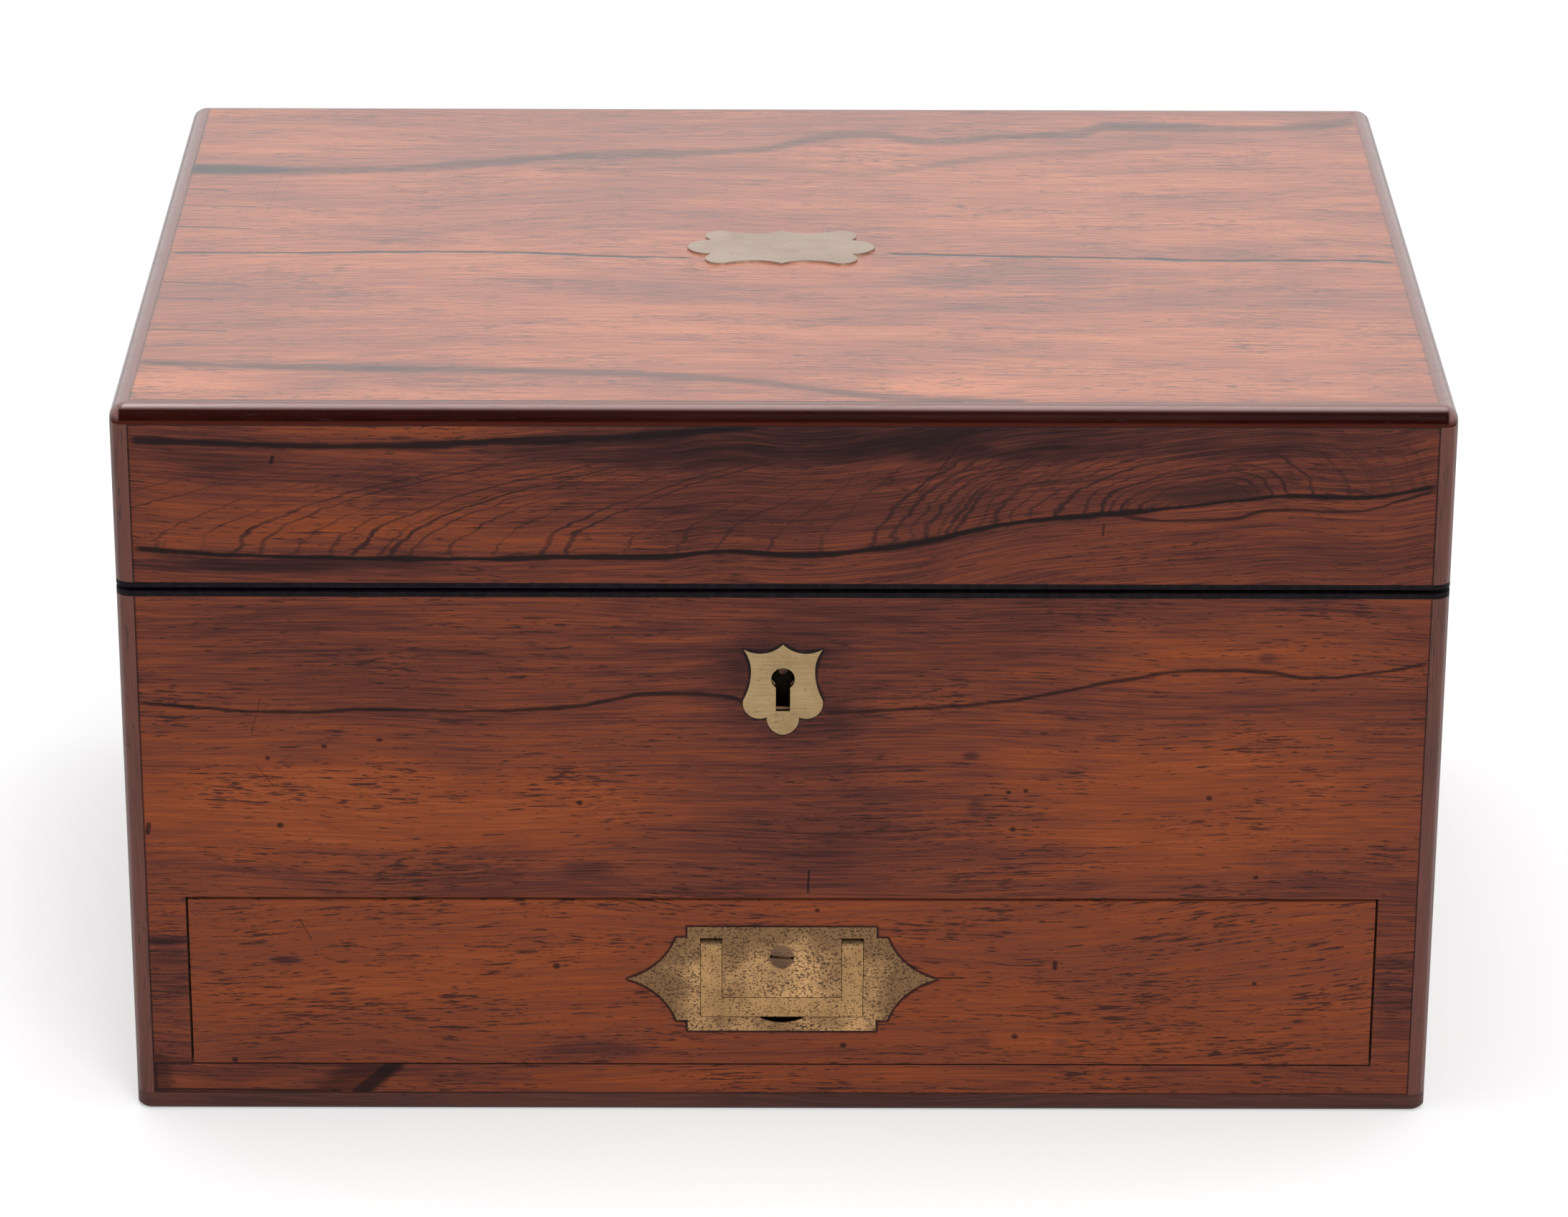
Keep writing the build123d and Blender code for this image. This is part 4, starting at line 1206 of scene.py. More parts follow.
@dataclass(frozen=True)
class Studio:
    """Pale floor, white surroundings and soft lamps."""

    ambient: float = 0.55
    floor_half: float = 6000.0
    floor_drop: float = 0.1
    # The floor glows less near the box's foot, from the first glow at the first reach to the second glow at
    # the second reach: a painted shadow round the box.
    floor_glow: Point = (0.35, 0.45)
    shadow_fade_reach: Point = (15.0, 120.0)
    foot_half: Point = (152.5, 111.0)
    lamps: tuple[Lamp, ...] = (
        Lamp("lamp_above", (0.1, 0.25, 1.7), (1.6, 1.4), 17.0),
        Lamp("lamp_strip", (-0.4, 0.05, 1.5), (1.1, 0.1), 3.5),
        Lamp("lamp_front", (0.5, -1.7, 1.3), (1.2, 1.0), 22.0),
    )

    def build(self) -> None:
        """Make floor, world and lamps."""
        for lamp in self.lamps:
            lamp.build()
        self.build_world()
        self.build_floor()

    def build_world(self) -> None:
        """White to the camera and in reflections, and a level soft light otherwise."""
        world = bpy.data.worlds.new("white_room")
        bpy.context.scene.world = world
        world.use_nodes = True
        g = Graph(world.node_tree)
        rays = g.node("LightPath").outputs
        seen = g.most(*(rays[f"Is {kind} Ray"] for kind in ("Camera", "Glossy", "Transmission")))
        strength = g.math("MULTIPLY_ADD", seen, 1.0 - self.ambient, self.ambient)
        g.feed(g.tree.nodes["Background"], {"Color": (1.0, 1.0, 1.0, 1.0), "Strength": strength})

    def build_floor(self) -> None:
        """A wide pale floor that keeps the box's shadow, with a painted shadow round the box's foot, where
        it glows less.
        """
        shape = Shape()
        bmesh.ops.create_grid(shape.mesh, x_segments=1, y_segments=1, size=self.floor_half * MM)
        bmesh.ops.translate(shape.mesh, vec=(0.0, 0.0, -self.floor_drop * MM), verts=shape.mesh.verts)
        floor = placed("floor", shape.give("floor"))
        g = Coat("pale_floor")
        # Painted shadow: the glow is weaker near the box's foot and grows with distance from it.
        out = g.reach(*(
            g.most(g.less(g.far(value), half), 0.0) for value, half in zip(g.millimetres(), self.foot_half)
        ))
        rays = g.node("LightPath").outputs
        glow = g.fade(out, *self.shadow_fade_reach, *self.floor_glow)
        g.dress((0.6, 0.6, 0.6), 1.0, Specular_IOR_Level=0.0)
        strength = g.times(rays["Is Camera Ray"], glow)
        g.feed(g.shader, {"Emission Color": (1.0, 1.0, 1.0, 1.0), "Emission Strength": strength})
        floor.data.materials.append(g.material)


# --- the finishes of this box
CARCASS = PlainWood("carcass_wood", (0.42, 0.26, 0.15), (0.30, 0.17, 0.10))
MAHOGANY = PlainWood("drawer_mahogany", (0.36, 0.15, 0.075), (0.24, 0.09, 0.045), 0.45)
EBONY = Plain("ebonised_lip", (0.010, 0.007, 0.009), (0.004, 0.003, 0.004), 0.4, shine=0.08)
PAPER = Plain("lining_paper", (0.17, 0.05, 0.12), (0.12, 0.035, 0.09), 0.85)
VELVET = Nap("purple_velvet", (0.15, 0.035, 0.13), (0.07, 0.014, 0.065))
BAIZE = Nap("base_baize", (0.05, 0.12, 0.07), (0.025, 0.07, 0.04), 0.2, 1.4)
STEEL = Plain("pin_steel", (0.26, 0.17, 0.12), (0.12, 0.07, 0.05), 0.42, 1.0)
MIRROR = Plain("mirror_glass", (0.86, 0.87, 0.87), (0.80, 0.81, 0.81), 0.02, 1.0, 0.02)
GLASS = ClearGlass("jar_glass")
PLATE = Plain("plated_cap", (0.80, 0.78, 0.73), (0.62, 0.59, 0.53), 0.18, 1.0, 0.1)

# Painted shade on the sides of a let-in plate sunk in the wood, so that the gap round it shows dark.
RECESS = (1, -110.9, -110.4)
LOCK_TONES = ((0.50, 0.38, 0.18), (0.33, 0.23, 0.11), (0.12, 0.08, 0.04))
LOCK_BRASS = Brass("lock_brass", *LOCK_TONES)
# Painted shade: the lock case darkens below 126 mm, fully below 122 mm, where it is seen deep in the
# keyhole.
LOCK_CASE_BRASS = Brass("lock_case_brass", *LOCK_TONES, painted_shade=(2, 126.0, 122.0))
# Painted shade: a darkened brass for the pin that sits deep in the keyhole.
DRILL_PIN_BRASS = Plain("drill_pin_brass", (0.12, 0.065, 0.04), (0.05, 0.03, 0.02), 0.45, 1.0)
ESCUTCHEON_BRASS = Brass(
    "escutcheon_brass", (0.475, 0.335, 0.178), (0.335, 0.227, 0.113), (0.10, 0.065, 0.035),
    0.0, 0.45, 0.42, pitted=(-4.0, 101.0), painted_shade=RECESS,
)
PLAQUE_BRASS = Brass(
    "plaque_brass", (0.45, 0.365, 0.30), (0.37, 0.29, 0.235), (0.17, 0.12, 0.09), 0.15, 0.5, 0.4
)
HANDLE_FLECK = (0.07, 0.04, 0.026)
HANDLE_BRASS = Brass(
    "handle_brass", (0.80, 0.48, 0.22), (0.27, 0.155, 0.075), HANDLE_FLECK, 0.85, 0.2, 0.42,
    tips=(17.0, 33.0), painted_shade=RECESS,
)
# Painted shade on the tops of the bail's knuckles, from 42.4 mm up, for the dark gap over them in place of
# their highlight.
BAIL_BRASS = Brass(
    "bail_brass", (0.60, 0.36, 0.16), (0.38, 0.225, 0.10), HANDLE_FLECK, 0.65, 0.2, 0.5,
    painted_shade=(2, 42.4, 43.9), black=0.9,
)
SCREW_BRASS = Brass("screw_brass", (0.26, 0.15, 0.095), (0.12, 0.068, 0.044), (0.05, 0.03, 0.022), 0.5)

LID_FOOT = (
    (-148, 143.2), (-125, 141.7), (-100, 141), (-70, 140.9), (-45, 141.4), (-30, 141.4), (-12, 142.8),
    (2, 142), (20, 143.4), (32, 145.3), (44, 148.3), (58, 150.8), (75, 152.3), (90, 154), (106, 155.9),
    (116, 156.7), (127, 156.4), (148, 159.2),
)
LID_SECOND = (
    (76, 152), (90, 150.7), (102, 151.2), (114, 153.4), (126, 152.9), (138, 155.2), (148, 158.2),
)
LID_UPPER = (
    (-148, 169.7), (-125, 168.9), (-105, 168.3), (-85, 168.5), (-65, 169.6), (-45, 170.2), (-25, 171.6),
    (-6, 173.4),
)
LID_HEAD = ((-148, 168.5), (-60, 168.5), (0, 171), (60, 168), (148, 171))
CASE_LEFT = (
    (-148, 104.9), (-135, 103.8), (-112, 102.6), (-94, 103.4), (-74, 103), (-52, 103.9), (-40, 105.7),
    (-25, 107.5), (-15, 107), (-8, 105),
)
CASE_RIGHT = (
    (9, 102.7), (28, 103.7), (46, 105.1), (64, 108.2), (80, 111.4), (100, 113.5), (112, 113.1),
    (121, 111.8), (133, 112.7), (148, 115.5),
)
TOP_BAND = (
    (-148, 57), (-135, 54.5), (-115, 55.5), (-90, 58.3), (-70, 63), (-50, 68.3), (-20, 70.8), (-5, 73.5),
    (8, 81.5), (22, 85.2), (38, 79.7), (55, 83.5), (77, 86.7), (84, 91.5), (108, 90.4), (130, 91.7),
    (148, 97.5),
)
TOP_FRONT = (
    (-148, -81.8), (-125, -84.3), (-90, -85.8), (-55, -87.4), (-25, -90), (-5, -94.4), (15, -101),
    (32, -104.9), (55, -106.4),
)
TOP_SOFT = ((-60, 56), (0, 57), (20, 54), (30, 57), (50, 66), (70, 71), (100, 77))
CRACK_LEFT = (
    (-148, -6.4), (-125, -6.6), (-100, -5.9), (-75, -5.6), (-55, -6.9), (-38, -8.8), (-22, -9.4),
)
CRACK_RIGHT = ((25, -6), (50, -7.7), (80, -8.8), (108, -10.5), (128, -10.2), (147, -11.8))

SHIELD = (
    (0, 22.6), (4, 20.4), (9.1, 21.4), (7.6, 17.2), (7.5, 13.5), (9.1, 8.8), (8.3, 5.6), (6.2, 4.1),
    (3.7, 4.4), (2.6, 1.3), (0, 0),
)
PLATE_EDGE = (
    (0, 13.6), (22.2, 13.6), (22.2, 10.8), (24.8, 10.8), (26.3, 7.5), (28.5, 4.7), (31.9, 2), (36.2, 0),
)

LID_WALLS = Rosewood(
    "lid_front_rosewood", Lie.ROUND, tone=0.47, band=0.26, wave=8, flow=LID_FOOT, seed=2,
    flame=Flame(LID_FOOT, LID_HEAD),
    streaks=(
        Streak(LID_FOOT, 0.6, 0.35, 0.95), Streak(LID_SECOND, 0.25, 0.35, 0.75),
        Streak(LID_UPPER, 0.75, 0.7, 0.9),
    ),
    clouds=(
        Cloud(-115, 152, 34, 12, -0.18), Cloud(-60, 148, 40, 8, -0.1), Cloud(-8, 169, 80, 7.5, 0.28),
        Cloud(70, 171, 95, 7, 0.25), Cloud(-120, 139.5, 45, 2.5, 0.3),
        Cloud(-60, 171.5, 60, 2.5, -0.2, 0.5), Cloud(85, 141, 60, 9, -0.02),
        Cloud(-145, 152, 16, 20, -0.16, 0.3),
    ),
    marks=(
        Mark(-116, 164.2, -115.6, 165.6, 0.45), Mark(72.5, 147, 72.7, 149.6, 0.3, 0.6),
        Mark(-148.3, 135, -148.3, 173, 0.4), Mark(148.3, 135, 148.3, 173, 0.4),
        Mark(-148, 173.4, 148, 173.4, 0.3), Mark(30, 156, 39, 168, 0.12, 0.5),
    ),
)
CASE_FRONT = Rosewood(
    "case_front_rosewood", Lie.FRONT, tone=0.56, wave=9, seed=5, halos=(Halo((0, 97.2), SHIELD),),
    streaks=(
        Streak(CASE_LEFT, 0.3, 0.45, 0.85), Streak(CASE_RIGHT, 0.3, 0.5, 0.8),
    ),
    clouds=(
        Cloud(-95, 76, 75, 16, -0.26), Cloud(95, 80, 62, 22, -0.24), Cloud(0, 82, 36, 30, 0.12, 0.6),
        Cloud(98, 117, 52, 14, -0.1, 0.5), Cloud(-45, 63, 8, 3, 0.16), Cloud(0, 124, 160, 12, 0.1),
        Cloud(0, 111, 22, 18, 0.2, 0.6), Cloud(43.5, 92, 2.5, 1.5, 0.3), Cloud(45, 79, 2.5, 3, 0.2),
        Cloud(111, 117, 3, 2, 0.25), Cloud(75, 96.5, 4, 1.2, 0.25), Cloud(-144, 36, 7, 9, 0.2, 0.5),
        Cloud(-144, 44, 9, 1.4, 0.4, 0.4), Cloud(144, 32, 7, 18, 0.1, 0.5),
        Cloud(144, 38.5, 9, 1.6, 0.2, 0.4), Cloud(-122, 7.5, 26, 5.5, -0.02, 0.3),
        Cloud(20, 7.5, 120, 6, -0.16, 0.2),
    ),
    marks=(
        speck(52.3, 82.7, 0.5), speck(56.3, 83.1, 0.5), speck(53.5, 73.2, 0.6), speck(98.8, 81.3, 0.6),
        speck(110.3, 61, 0.5), speck(-116.5, 73.9, 0.7), speck(-118.9, 91, 0.5),
        Mark(-106, 94, -105.6, 94, 0.5), Mark(-93.3, 95.6, -92.7, 95.6, 0.45), speck(-47, 79.8, 0.6),
        Mark(6, 57, 6.2, 62.5, 0.25), Mark(-147.3, 72, -147, 74, 0.6),
        Mark(-120.2, 106, -122.5, 97, 0.15, 0.4), Mark(-121.5, 89, -117.8, 84, 0.15, 0.4),
        Mark(-148.3, 4, -148.3, 131, 0.4), Mark(148.3, 4, 148.3, 131, 0.35),
        Mark(-148, 4.2, 148, 4.2, 0.3), Mark(-147.8, 5, -147.8, 11.5, 0.6),
        Mark(-148, 5.1, -104, 4.7, 0.35), Mark(-148, 12, -139.2, 12, 0.4),
        Mark(-147, 5, -147, 11.5, 3, 0.5), Mark(-91, 12.2, -99.9, 4.2, 2.1, 0.88),
        # The four marks on x = ±138.9 and on z = 12 and 55 are painted shade in the gap round the drawer.
        Mark(-96.6, 12.2, -105.5, 4.2, 4.6, 0.55), Mark(-138.9, 55, 138.9, 55, 0.32),
        Mark(-138.9, 12, -138.9, 55, 0.28), Mark(138.9, 12, 138.9, 55, 0.25, 0.7),
        Mark(-138.9, 12, 138.9, 12, 0.22, 0.7),
    ),
)
DRAWER_FRONT = Rosewood(
    "drawer_rosewood", Lie.FRONT, tone=0.72, swing=0.8, pores=0.75, seed=15,
    flow=((-139, 0), (-20, 0), (60, 2), (139, 8)), halos=(Halo((0, 34.4), PLATE_EDGE, True),),
    clouds=(
        Cloud(0, 35, 40, 15, 0.16, 0.4), Cloud(-45, 16, 16, 4, 0.2), Cloud(-116, 39.2, 5, 1.2, 0.4),
        Cloud(46, 18, 5, 1.5, 0.25), Cloud(66, 17.8, 3, 1.2, 0.25),
    ),
    marks=(
        speck(-52.8, 37.7, 0.8), speck(-128.9, 12.9, 0.7), speck(8.2, 52.3, 0.5),
        Mark(64, 37.4, 64, 38.8, 0.6), speck(110.9, 33.4, 0.5), speck(14.5, 17, 0.7),
        speck(54.9, 19.4, 0.7), Mark(35.5, 34.7, 42.5, 34.8, 0.2),
        Mark(-112.6, 49.5, -110, 44.5, 0.2, 0.5),
    ),
)
SIDE_WALLS = Rosewood("side_rosewood", Lie.ROUND, tone=0.56, seed=9)
LID_TOP = Rosewood(
    "lid_top_rosewood", Lie.TOP, tone=0.62, swing=1.35, wave=16, band=0.12, shine=0.5, coat=0.55,
    gloss=0.33, pores=0.7, pore_tone=(0.085, 0.03, 0.024), relief=0.02, seed=12,
    tones=(
        (0, (0.035, 0.02, 0.02)), (0.3, (0.16, 0.055, 0.042)), (0.6, (0.29, 0.084, 0.045)),
        (1, (0.47, 0.155, 0.07)),
    ),
    streaks=(
        Streak(TOP_BAND, 2, 2.6, 0.6, 3.5), Streak(TOP_BAND, 0.7, 0.8, 0.5, 6),
        Streak(TOP_FRONT, 0.7, 2.6, 0.62, 2.4), Streak(TOP_SOFT, 0.6, 3, 0.35, 3),
        Streak(CRACK_LEFT, 0.5, 0.3, 1, 1.4, True), Streak(CRACK_RIGHT, 0.5, 0.3, 1, 1.4, True),
    ),
    clouds=(
        Cloud(-146, 56, 30, 5, 0.6), Cloud(95, 93.5, 18, 3.5, 0.4), Cloud(-110, -83, 50, 5, 0.2),
        Cloud(-40, 62, 60, 6, 0.15), Cloud(90, 82, 60, 8, 0.15), Cloud(0, 102, 170, 16, 0.08),
        Cloud(85, -92, 80, 16, -0.16), Cloud(-136, -92, 24, 14, -0.24), Cloud(105, 60, 60, 24, -0.1, 0.6),
        Cloud(-20, -55, 30, 12, -0.06), Cloud(55, -22, 45, 12, 0.26), Cloud(36, -94, 20, 9, -0.22),
    ),
    marks=(
        Mark(-148, 41, -138, 39.6, 0.35), Mark(-148, 28.5, -130, 27.5, 0.35),
        Mark(-148, 12.6, -130, 11, 0.35), Mark(-148, -27.5, -128, -29.8, 0.35),
        Mark(-148, -38.5, -135, -39.5, 0.35), Mark(-148, -60, -130, -61.2, 0.35),
        Mark(-148.1, -106.6, -148.1, 104.6, 0.35, 0.6), Mark(148.1, -106.6, 148.1, 104.6, 0.3, 0.4),
        Mark(-148, -106.5, 40, -106.5, 0.5, 0.8), Mark(40, -106.5, 148, -106.5, 0.3, 0.5),
        Mark(20, -6.2, 25, -7.2, 0.2), Mark(22, -8.5, 27, -9.5, 0.2), Mark(-55, -6.2, -28, -5.6, 0.18),
        Mark(-127, 22, -125, 60, 0.12, 0.3),
    ),
)

EDGE_TONES = ((0, (0.013, 0.004, 0.003)), (0.5, (0.055, 0.017, 0.012)), (1, (0.12, 0.036, 0.026)))
TOP_EDGE_TONES = ((0, (0.014, 0.0014, 0.0007)), (1, (0.1, 0.022, 0.014)))
# rim paints a pale highlight along the outer front edge of the corner mouldings.
EDGING = Rosewood(
    "edging_rosewood", Lie.UPRIGHT, tones=EDGE_TONES, tone=0.9, pores=0.3, shine=0.15, coat=0.45,
    gloss=0.35, rim=(151.3, 152.4), rim_highlight_tone=(0.6, 0.41, 0.36), seed=18,
)
BASE_EDGING = Rosewood(
    "base_edging_rosewood", Lie.ROUND, tones=EDGE_TONES, tone=0.6, pores=0.3, shine=0.25, coat=0.1,
    gloss=0.35, seed=19,
)
# Painted light on the top mouldings: a pale reflection on faces that look up (level tone), a lighter tone
# on the side and back mouldings (away share), and a cloud that paints a lighter lit band along the bottom
# of the front face.
TOP_EDGING = Rosewood(
    "top_edging_rosewood", Lie.ROUND, tones=TOP_EDGE_TONES, tone=0.05, swing=0.4, pores=0.2, shine=0.02,
    coat=1, gloss=0.2, level_highlight_tone=(0.21, 0.108, 0.098), painted_light_away=0.5, seed=20,
    clouds=(Cloud(0, 173.7, 600, 0.8, -0.5, 0.2),),
)
TRAY_WOOD = Rosewood("tray_rosewood", Lie.ROUND, tone=0.5, shine=0.3, coat=0.3, seed=21)


# --- case
@dataclass
class CaseShell(Assembly):
    """The case with its veneers, mouldings, black lip, lining and baize."""

    baize_round: float = 2.0
    baize_steps: int = 4
    wears = {
        CASE_FRONT: ("case_front_veneer",),
        SIDE_WALLS: ("case_side_veneers",),
        EDGING: ("case_corner_mouldings",),
        BASE_EDGING: ("case_base_mouldings",),
        EBONY: ("case_lip",),
        CARCASS: (
            "case_front_board", "case_front_frame", "case_side_boards", "case_back_board",
            "case_bottom_board", "compartment_floor", "drawer_runners",
        ),
        PAPER: ("compartment_lining",),
    }

    def make_pieces(self) -> None:
        """The sheet of baize under the case."""
        low, high = limits("base_baize")
        shape = Shape()
        shape.block(low, high)
        shape.round_over(shape.upright(), self.baize_round, self.baize_steps)
        piece = shape.piece("base_baize_sheet", BAIZE, smooth=False)
        self.settle(piece, "case", "base_baize", "base_baize")


# --- lid
@dataclass
class LidShell(Assembly):
    """The lid with its veneers, mouldings, black lip and plaque."""

    wears = {
        LID_WALLS: ("lid_wall_veneers",),
        LID_TOP: ("lid_top_veneer",),
        EDGING: ("lid_corner_mouldings",),
        TOP_EDGING: ("lid_top_mouldings",),
        EBONY: ("lid_lip",),
        CARCASS: ("lid_top_board", "lid_wall_boards"),
        PLAQUE_BRASS: ("lid_plaque",),
    }


@dataclass
class MirrorLeaf(Assembly):
    """The framed mirror in the lid, its catch and the padded surround."""

    voxel: float = 4.0
    start_in: float = 0.8
    swell: float = 1.2
    frames: int = 20
    pressure: float = 4.0
    wears = {
        TRAY_WOOD: ("mirror_frame",),
        CARCASS: ("mirror_backing",),
        MIRROR: ("mirror_glass",),
        LOCK_BRASS: ("mirror_catch", "catch_screw"),
    }

    def make_pieces(self) -> None:
        """The velvet pad round the mirror, blown up a little from its CAD solid."""
        shape = Shape()
        shape.mesh.from_mesh(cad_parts["lid_velvet"].data)
        bmesh.ops.remove_doubles(shape.mesh, verts=shape.mesh.verts, dist=1e-6)
        mesh = shape.give("lid_velvet_pad")
        mesh.materials.clear()
        mesh.materials.append(VELVET.material())
        piece = placed("lid_velvet_pad", mesh)
        modified(piece, "REMESH", mode="VOXEL", voxel_size=self.voxel * MM)
        self.apply(piece)
        for vert in piece.data.vertices:
            vert.co -= vert.normal * self.start_in * MM
        self.blow_up(piece)
        for face in piece.data.polygons:
            face.use_smooth = True
        modified(piece, "SUBSURF", levels=1, render_levels=1)
        self.settle(piece, "lid", "purple_velvet", "lid_velvet")

    def apply(self, piece: bpy.types.Object) -> None:
        """Make a piece's modifiers part of its mesh.

        Args:
            piece: The piece.
        """
        graph = bpy.context.evaluated_depsgraph_get()
        made = bpy.data.meshes.new_from_object(piece.evaluated_get(graph))
        piece.modifiers.clear()
        old = piece.data
        piece.data = made
        bpy.data.meshes.remove(old)
        made.name = piece.name

    def blow_up(self, piece: bpy.types.Object) -> None:
        """Fill the pad with cloth under pressure, and hold each point near its start.

        Args:
            piece: The pad.
        """
        rest = [vert.co.copy() for vert in piece.data.vertices]
        cloth = modified(piece, "CLOTH")
        cloth.settings.use_pressure = True
        cloth.settings.uniform_pressure_force = self.pressure
        cloth.settings.effector_weights.gravity = 0.0
        scene = bpy.context.scene
        for number in range(1, self.frames + 1):
            scene.frame_set(number)
        self.apply(piece)
        scene.frame_set(1)
        for vert, start in zip(piece.data.vertices, rest):
            moved = vert.co - start
            if moved.length > self.swell * MM:
                vert.co = start + moved.normalized() * self.swell * MM


# --- lock, hinges
@dataclass
class LockAndHinges(Assembly):
    """The escutcheon, the lock with its plates, and the two hinges."""

    wears = {
        ESCUTCHEON_BRASS: ("escutcheon",),
        LOCK_CASE_BRASS: ("lock_case",),
        LOCK_BRASS: (
            "lock_link_plate", "lock_bolt", "hinge_case_leaves", "hinge_lid_leaves", "lock_screws",
            "hinge_case_screws", "hinge_lid_screws", "link_plate_screws",
        ),
        STEEL: ("hinge_pins",),
        DRILL_PIN_BRASS: ("lock_drill_pin",),
    }


# --- drawer and handle
@dataclass
class Handle(Assembly):
    """The flush handle: plate, screw, pins and bail."""

    wears = {
        HANDLE_BRASS: ("handle_plate",),
        BAIL_BRASS: ("handle_bail",),
        SCREW_BRASS: ("handle_screw",),
        STEEL: ("handle_pins",),
    }


@dataclass
class Lining(Assembly):
    """A velvet lining that follows the floor and walls of a well, with soft corners."""

    node: str
    body: str
    rests_on: str
    thick: float = 1.1
    corner: float = 2.5
    corner_steps: int = 3
    rim: float = 1.0
    gap: float = 0.06

    def make_pieces(self) -> None:
        """Line the well."""
        low, high = limits(self.node)
        low = tuple(value + self.gap for value in low)
        high = tuple(value - self.gap for value in high)
        shape = Shape()
        shape.block(low, high)
        below = high[2] - self.rim
        sunk = [edge for edge in shape.mesh.edges if any(vert.co.z < below for vert in edge.verts)]
        shape.round_over(sunk, self.corner, self.corner_steps)
        bmesh.ops.delete(shape.mesh, geom=[shape.facing(1.0)], context="FACES_ONLY")
        piece = shape.piece(f"{self.node}_lining", VELVET)
        modified(piece, "SOLIDIFY", thickness=self.thick * MM, offset=-1.0)
        self.settle(piece, self.body, "purple_velvet", self.node)


@dataclass
class DrawerBox(Assembly):
    """The drawer with its veneered front, mahogany box, dividers and lining."""

    wears = {
        DRAWER_FRONT: ("drawer_front_veneer",),
        MAHOGANY: (
            "drawer_front_board", "drawer_sides", "drawer_back", "drawer_bottom", "drawer_dividers",
        ),
    }

    def make_pieces(self) -> None:
        """Line the drawer, and build its handle."""
        Lining("drawer_velvet", "drawer", "drawer_bottom").build()
        Handle().build()


# --- tray
@dataclass
class Jar:
    """Sizes of a glass jar's body, neck and walls, in millimetres."""

    corner: float = 5.0
    neck_inset: float = 3.2
    wall: float = 2.6
    cap_over: float = 1.5
    shoulder: float = 120.1
    neck_top: float = 128.1
    soft: float = 0.7
    sharp: float = 0.9
    round_steps: int = 11
    square_steps: int = 4
    soft_steps: int = 3

    def build(self, shape: Shape, low: Place, high: Place, radius: float = 0.0) -> None:
        """Add a jar to a shape.

        Args:
            shape: What it is added to.
            low: Lowest corner of its body.
            high: Highest corner of its body, at the shoulder.
            radius: Outer radius of a round neck, or 0 for a neck that follows the sides.
        """
        jar = Shape()
        jar.block(low, high)
        jar.round_over(jar.upright(), self.corner, self.round_steps if radius else self.square_steps)
        top = jar.facing(1.0)
        jar.step_in(top, self.neck_inset)
        if radius:
            jar.ring_out(top, ((low[0] + high[0]) / 2, (low[1] + high[1]) / 2), radius)
        top = jar.pull(top, self.neck_top - self.shoulder)
        jar.step_in(top, self.wall)
        jar.pull(top, low[2] + self.wall - self.neck_top)
        sharp = [e for e in jar.mesh.edges if len(e.link_faces) == 2 and e.calc_face_angle() > self.sharp]
        jar.round_over(sharp, self.soft, self.soft_steps)
        mesh = jar.give("jar")
        shape.mesh.from_mesh(mesh)
        bpy.data.meshes.remove(mesh)


@dataclass
class Cap:
    """Sizes of a plated cap: skirt, bead and crown, in millimetres."""

    wall: float = 1.2
    crown: float = 4.0
    roof: float = 1.0
    bead: float = 0.5
    bead_band: Point = (0.5, 1.9)
    edge: float = 0.6
    steps: int = 72
    dome_steps: int = 18
    rings: tuple[float, ...] = (0.42, 0.5)
    ring_half: float = 0.04
    ring_rise: float = 0.25
    slope: tuple[Point, ...] = ((1.0, 0.0), (0.5, 0.7), (2.5, 1.5), (3.0, 1.1), (3.5, 0.7))
    tighten: float = 0.88
    corner_steps: int = 5

    def round_cap(self, low: Place, high: Place, centre: Point) -> Shape:
        """Make a turned cap with a domed crown, a bead round the skirt and two rings on the crown.

        Args:
            low: Its lowest corner.
            high: Its highest corner.
            centre: Where its middle stands.

        Returns:
            Its shape.
        """
        outer = (high[0] - low[0]) / 2 - self.bead
        rim = high[2] - self.crown
        inner_top = rim - self.roof
        dome = []
        for index in range(self.dome_steps + 1):
            angle = math.radians(90.0 / self.dome_steps * index)
            radius = outer * math.sin(angle)
            ringed = sum(abs(radius / outer - share) < self.ring_half for share in self.rings)
            dome.append((radius, rim + self.crown * math.cos(angle) + ringed * self.ring_rise))
        under, over = (low[2] + height for height in self.bead_band)
        skirt = [
            (outer, rim - self.edge), (outer, over + self.bead), (outer + self.bead, over),
            (outer + self.bead, under), (outer, low[2]), (outer - self.wall, low[2]),
            (outer - self.wall, inner_top), (0.0, inner_top),
        ]
        shape = Shape()
        shape.spun(dome + skirt, centre, self.steps)
        return shape

    def oblong_cap(self, low: Place, high: Place, corner: float) -> Shape:
        """Make a cap over an oblong neck: straight skirt, step and softly sloped crown.

        Args:
            low: Its lowest corner.
            high: Its highest corner.
            corner: Radius of its upright corners.

        Returns:
            Its shape.
        """
        shape = Shape()
        rim = high[2] - self.crown
        shape.block(low, (high[0], high[1], rim))
        shape.round_over(shape.upright(), corner, self.corner_steps)
        top = shape.facing(1.0)
        for inset, rise in self.slope:
            shape.draw_in(top, (corner, corner * self.tighten), inset, rise)
            corner *= self.tighten
        under = shape.facing(-1.0)
        shape.step_in(under, self.wall)
        shape.pull(under, rim - self.roof - low[2])
        return shape


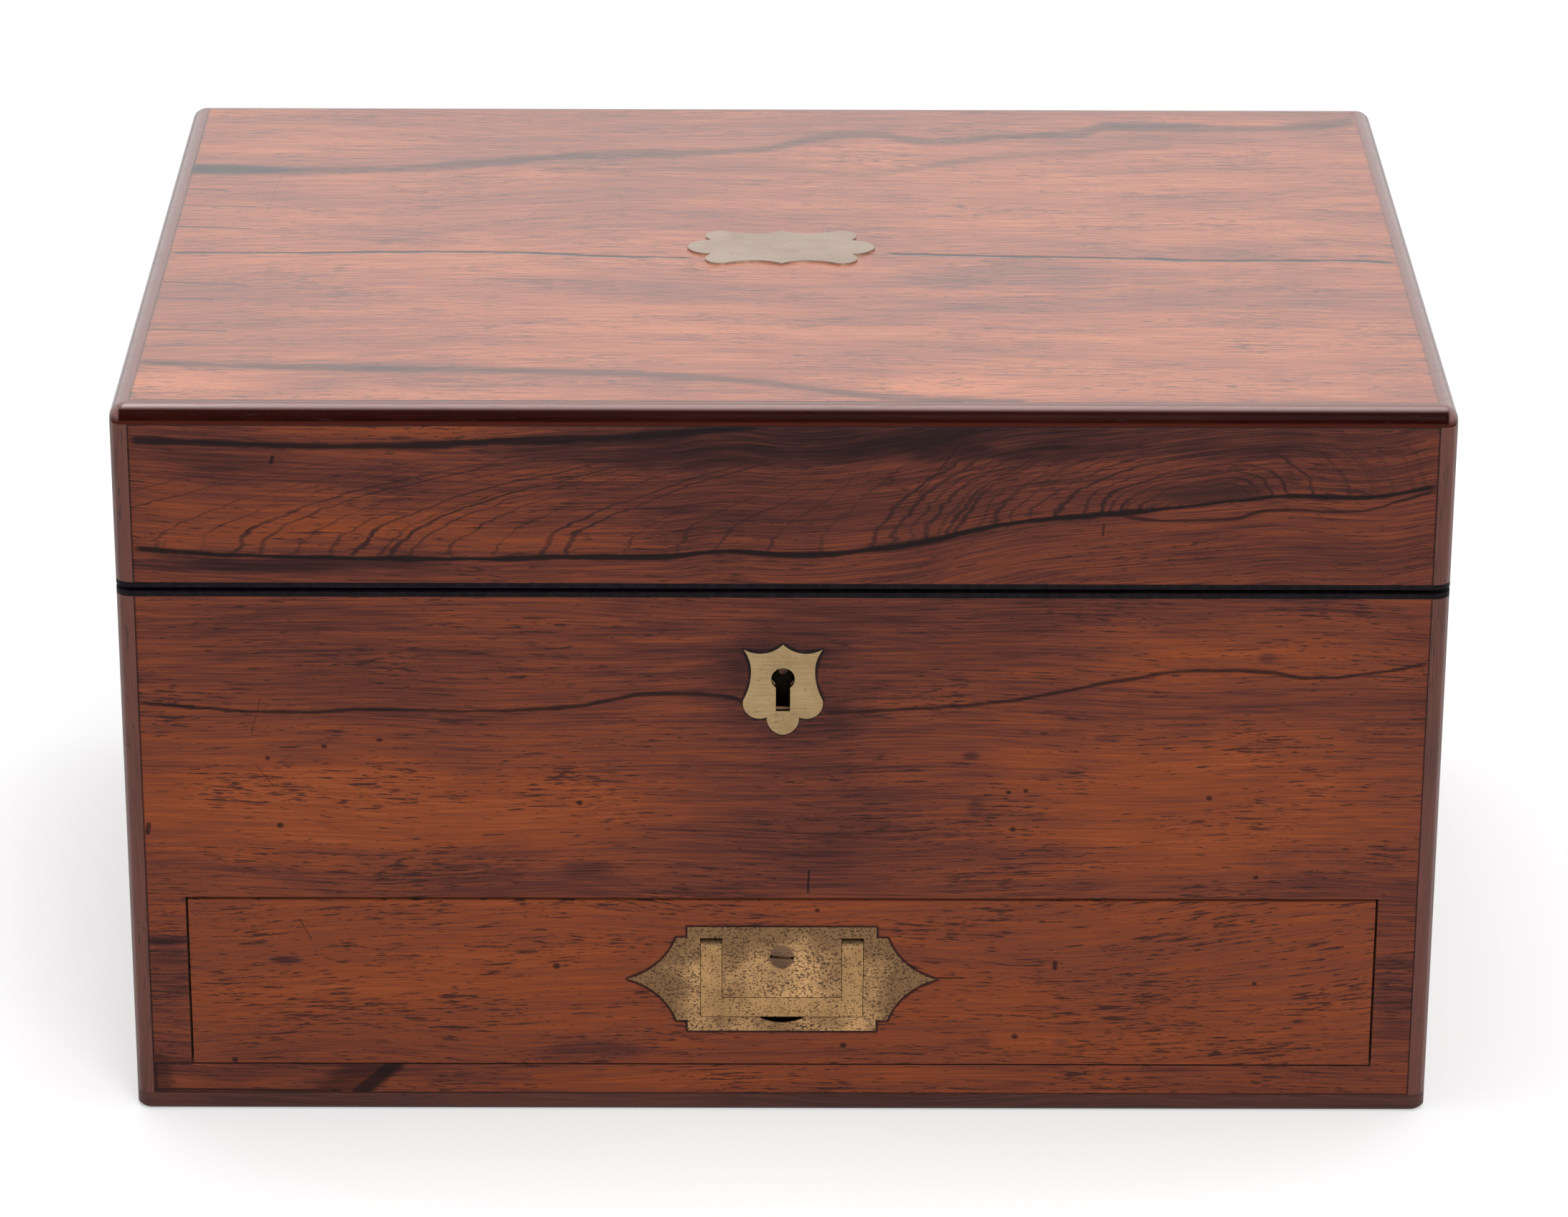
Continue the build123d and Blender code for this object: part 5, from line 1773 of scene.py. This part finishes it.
@dataclass
class Tray(Assembly):
    """The lift-out tray with its lined well, glass jars and plated caps."""

    jar: Jar = field(default_factory=Jar)
    cap: Cap = field(default_factory=Cap)
    square_caps: tuple[str, ...] = ("cap_box_front", "cap_box_back", "cap_long")
    round_caps: tuple[str, ...] = ("cap_flask_front", "cap_flask_middle", "cap_flask_back")
    flask_neck: float = 23.0
    cap_corner: float = 4.9
    cap_soft: float = 0.3
    cap_sharp: float = 35.0
    wears = {TRAY_WOOD: ("tray_box",)}

    def make_pieces(self) -> None:
        """Line the tray's open well, and make the jars and caps."""
        Lining("tray_velvet", "tray", "tray_box").build()
        self.make_jars()
        for node in self.square_caps:
            self.finish_cap(self.cap.oblong_cap(*limits(node), self.cap_corner), node)
        for node in self.round_caps:
            self.finish_cap(self.cap.round_cap(*limits(node), middle(node)), node)

    def finish_cap(self, shape: Shape, node: str) -> None:
        """Make a cap a piece with softened edges that rides on its own body.

        Args:
            shape: Its shape.
            node: The CAD node that it stands for.
        """
        piece = shape.piece(f"{node}_plated", PLATE)
        modified(
            piece, "BEVEL", width=self.cap_soft * MM, segments=2, limit_method="ANGLE",
            angle_limit=math.radians(self.cap_sharp),
        )
        self.settle(piece, node, "plated_cap", node)

    def make_jars(self) -> None:
        """Six thick glass jars under their caps."""
        low, high = limits("glass_jars")
        top = self.jar.shoulder
        shape = Shape()
        over = self.jar.neck_inset - self.jar.cap_over
        for node in self.square_caps:
            a, b = limits(node)
            self.jar.build(shape, (a[0] - over, a[1] - over, low[2]), (b[0] + over, b[1] + over, top))
        half_y = middle("cap_flask_front")[1] - low[1]
        for node in self.round_caps:
            x, y = middle(node)
            half_x = high[0] - x
            self.jar.build(
                shape, (x - half_x, y - half_y, low[2]), (x + half_x, y + half_y, top), self.flask_neck
            )
        self.settle(shape.piece("glass_jars_clear", GLASS), "tray", "jar_glass", "glass_jars")


def main() -> None:
    """Build the looks of the box, its surroundings and the camera."""
    logging.basicConfig(level=logging.INFO, format="%(name)s: %(message)s")
    bpy.context.scene.view_settings.view_transform = "Standard"
    Viewpoint().build()
    Studio().build()
    for part in (CaseShell(), LidShell(), MirrorLeaf(), LockAndHinges(), DrawerBox(), Tray()):
        part.build()
        log.info("%s is finished", type(part).__name__)


if __name__ == "__main__":
    main()
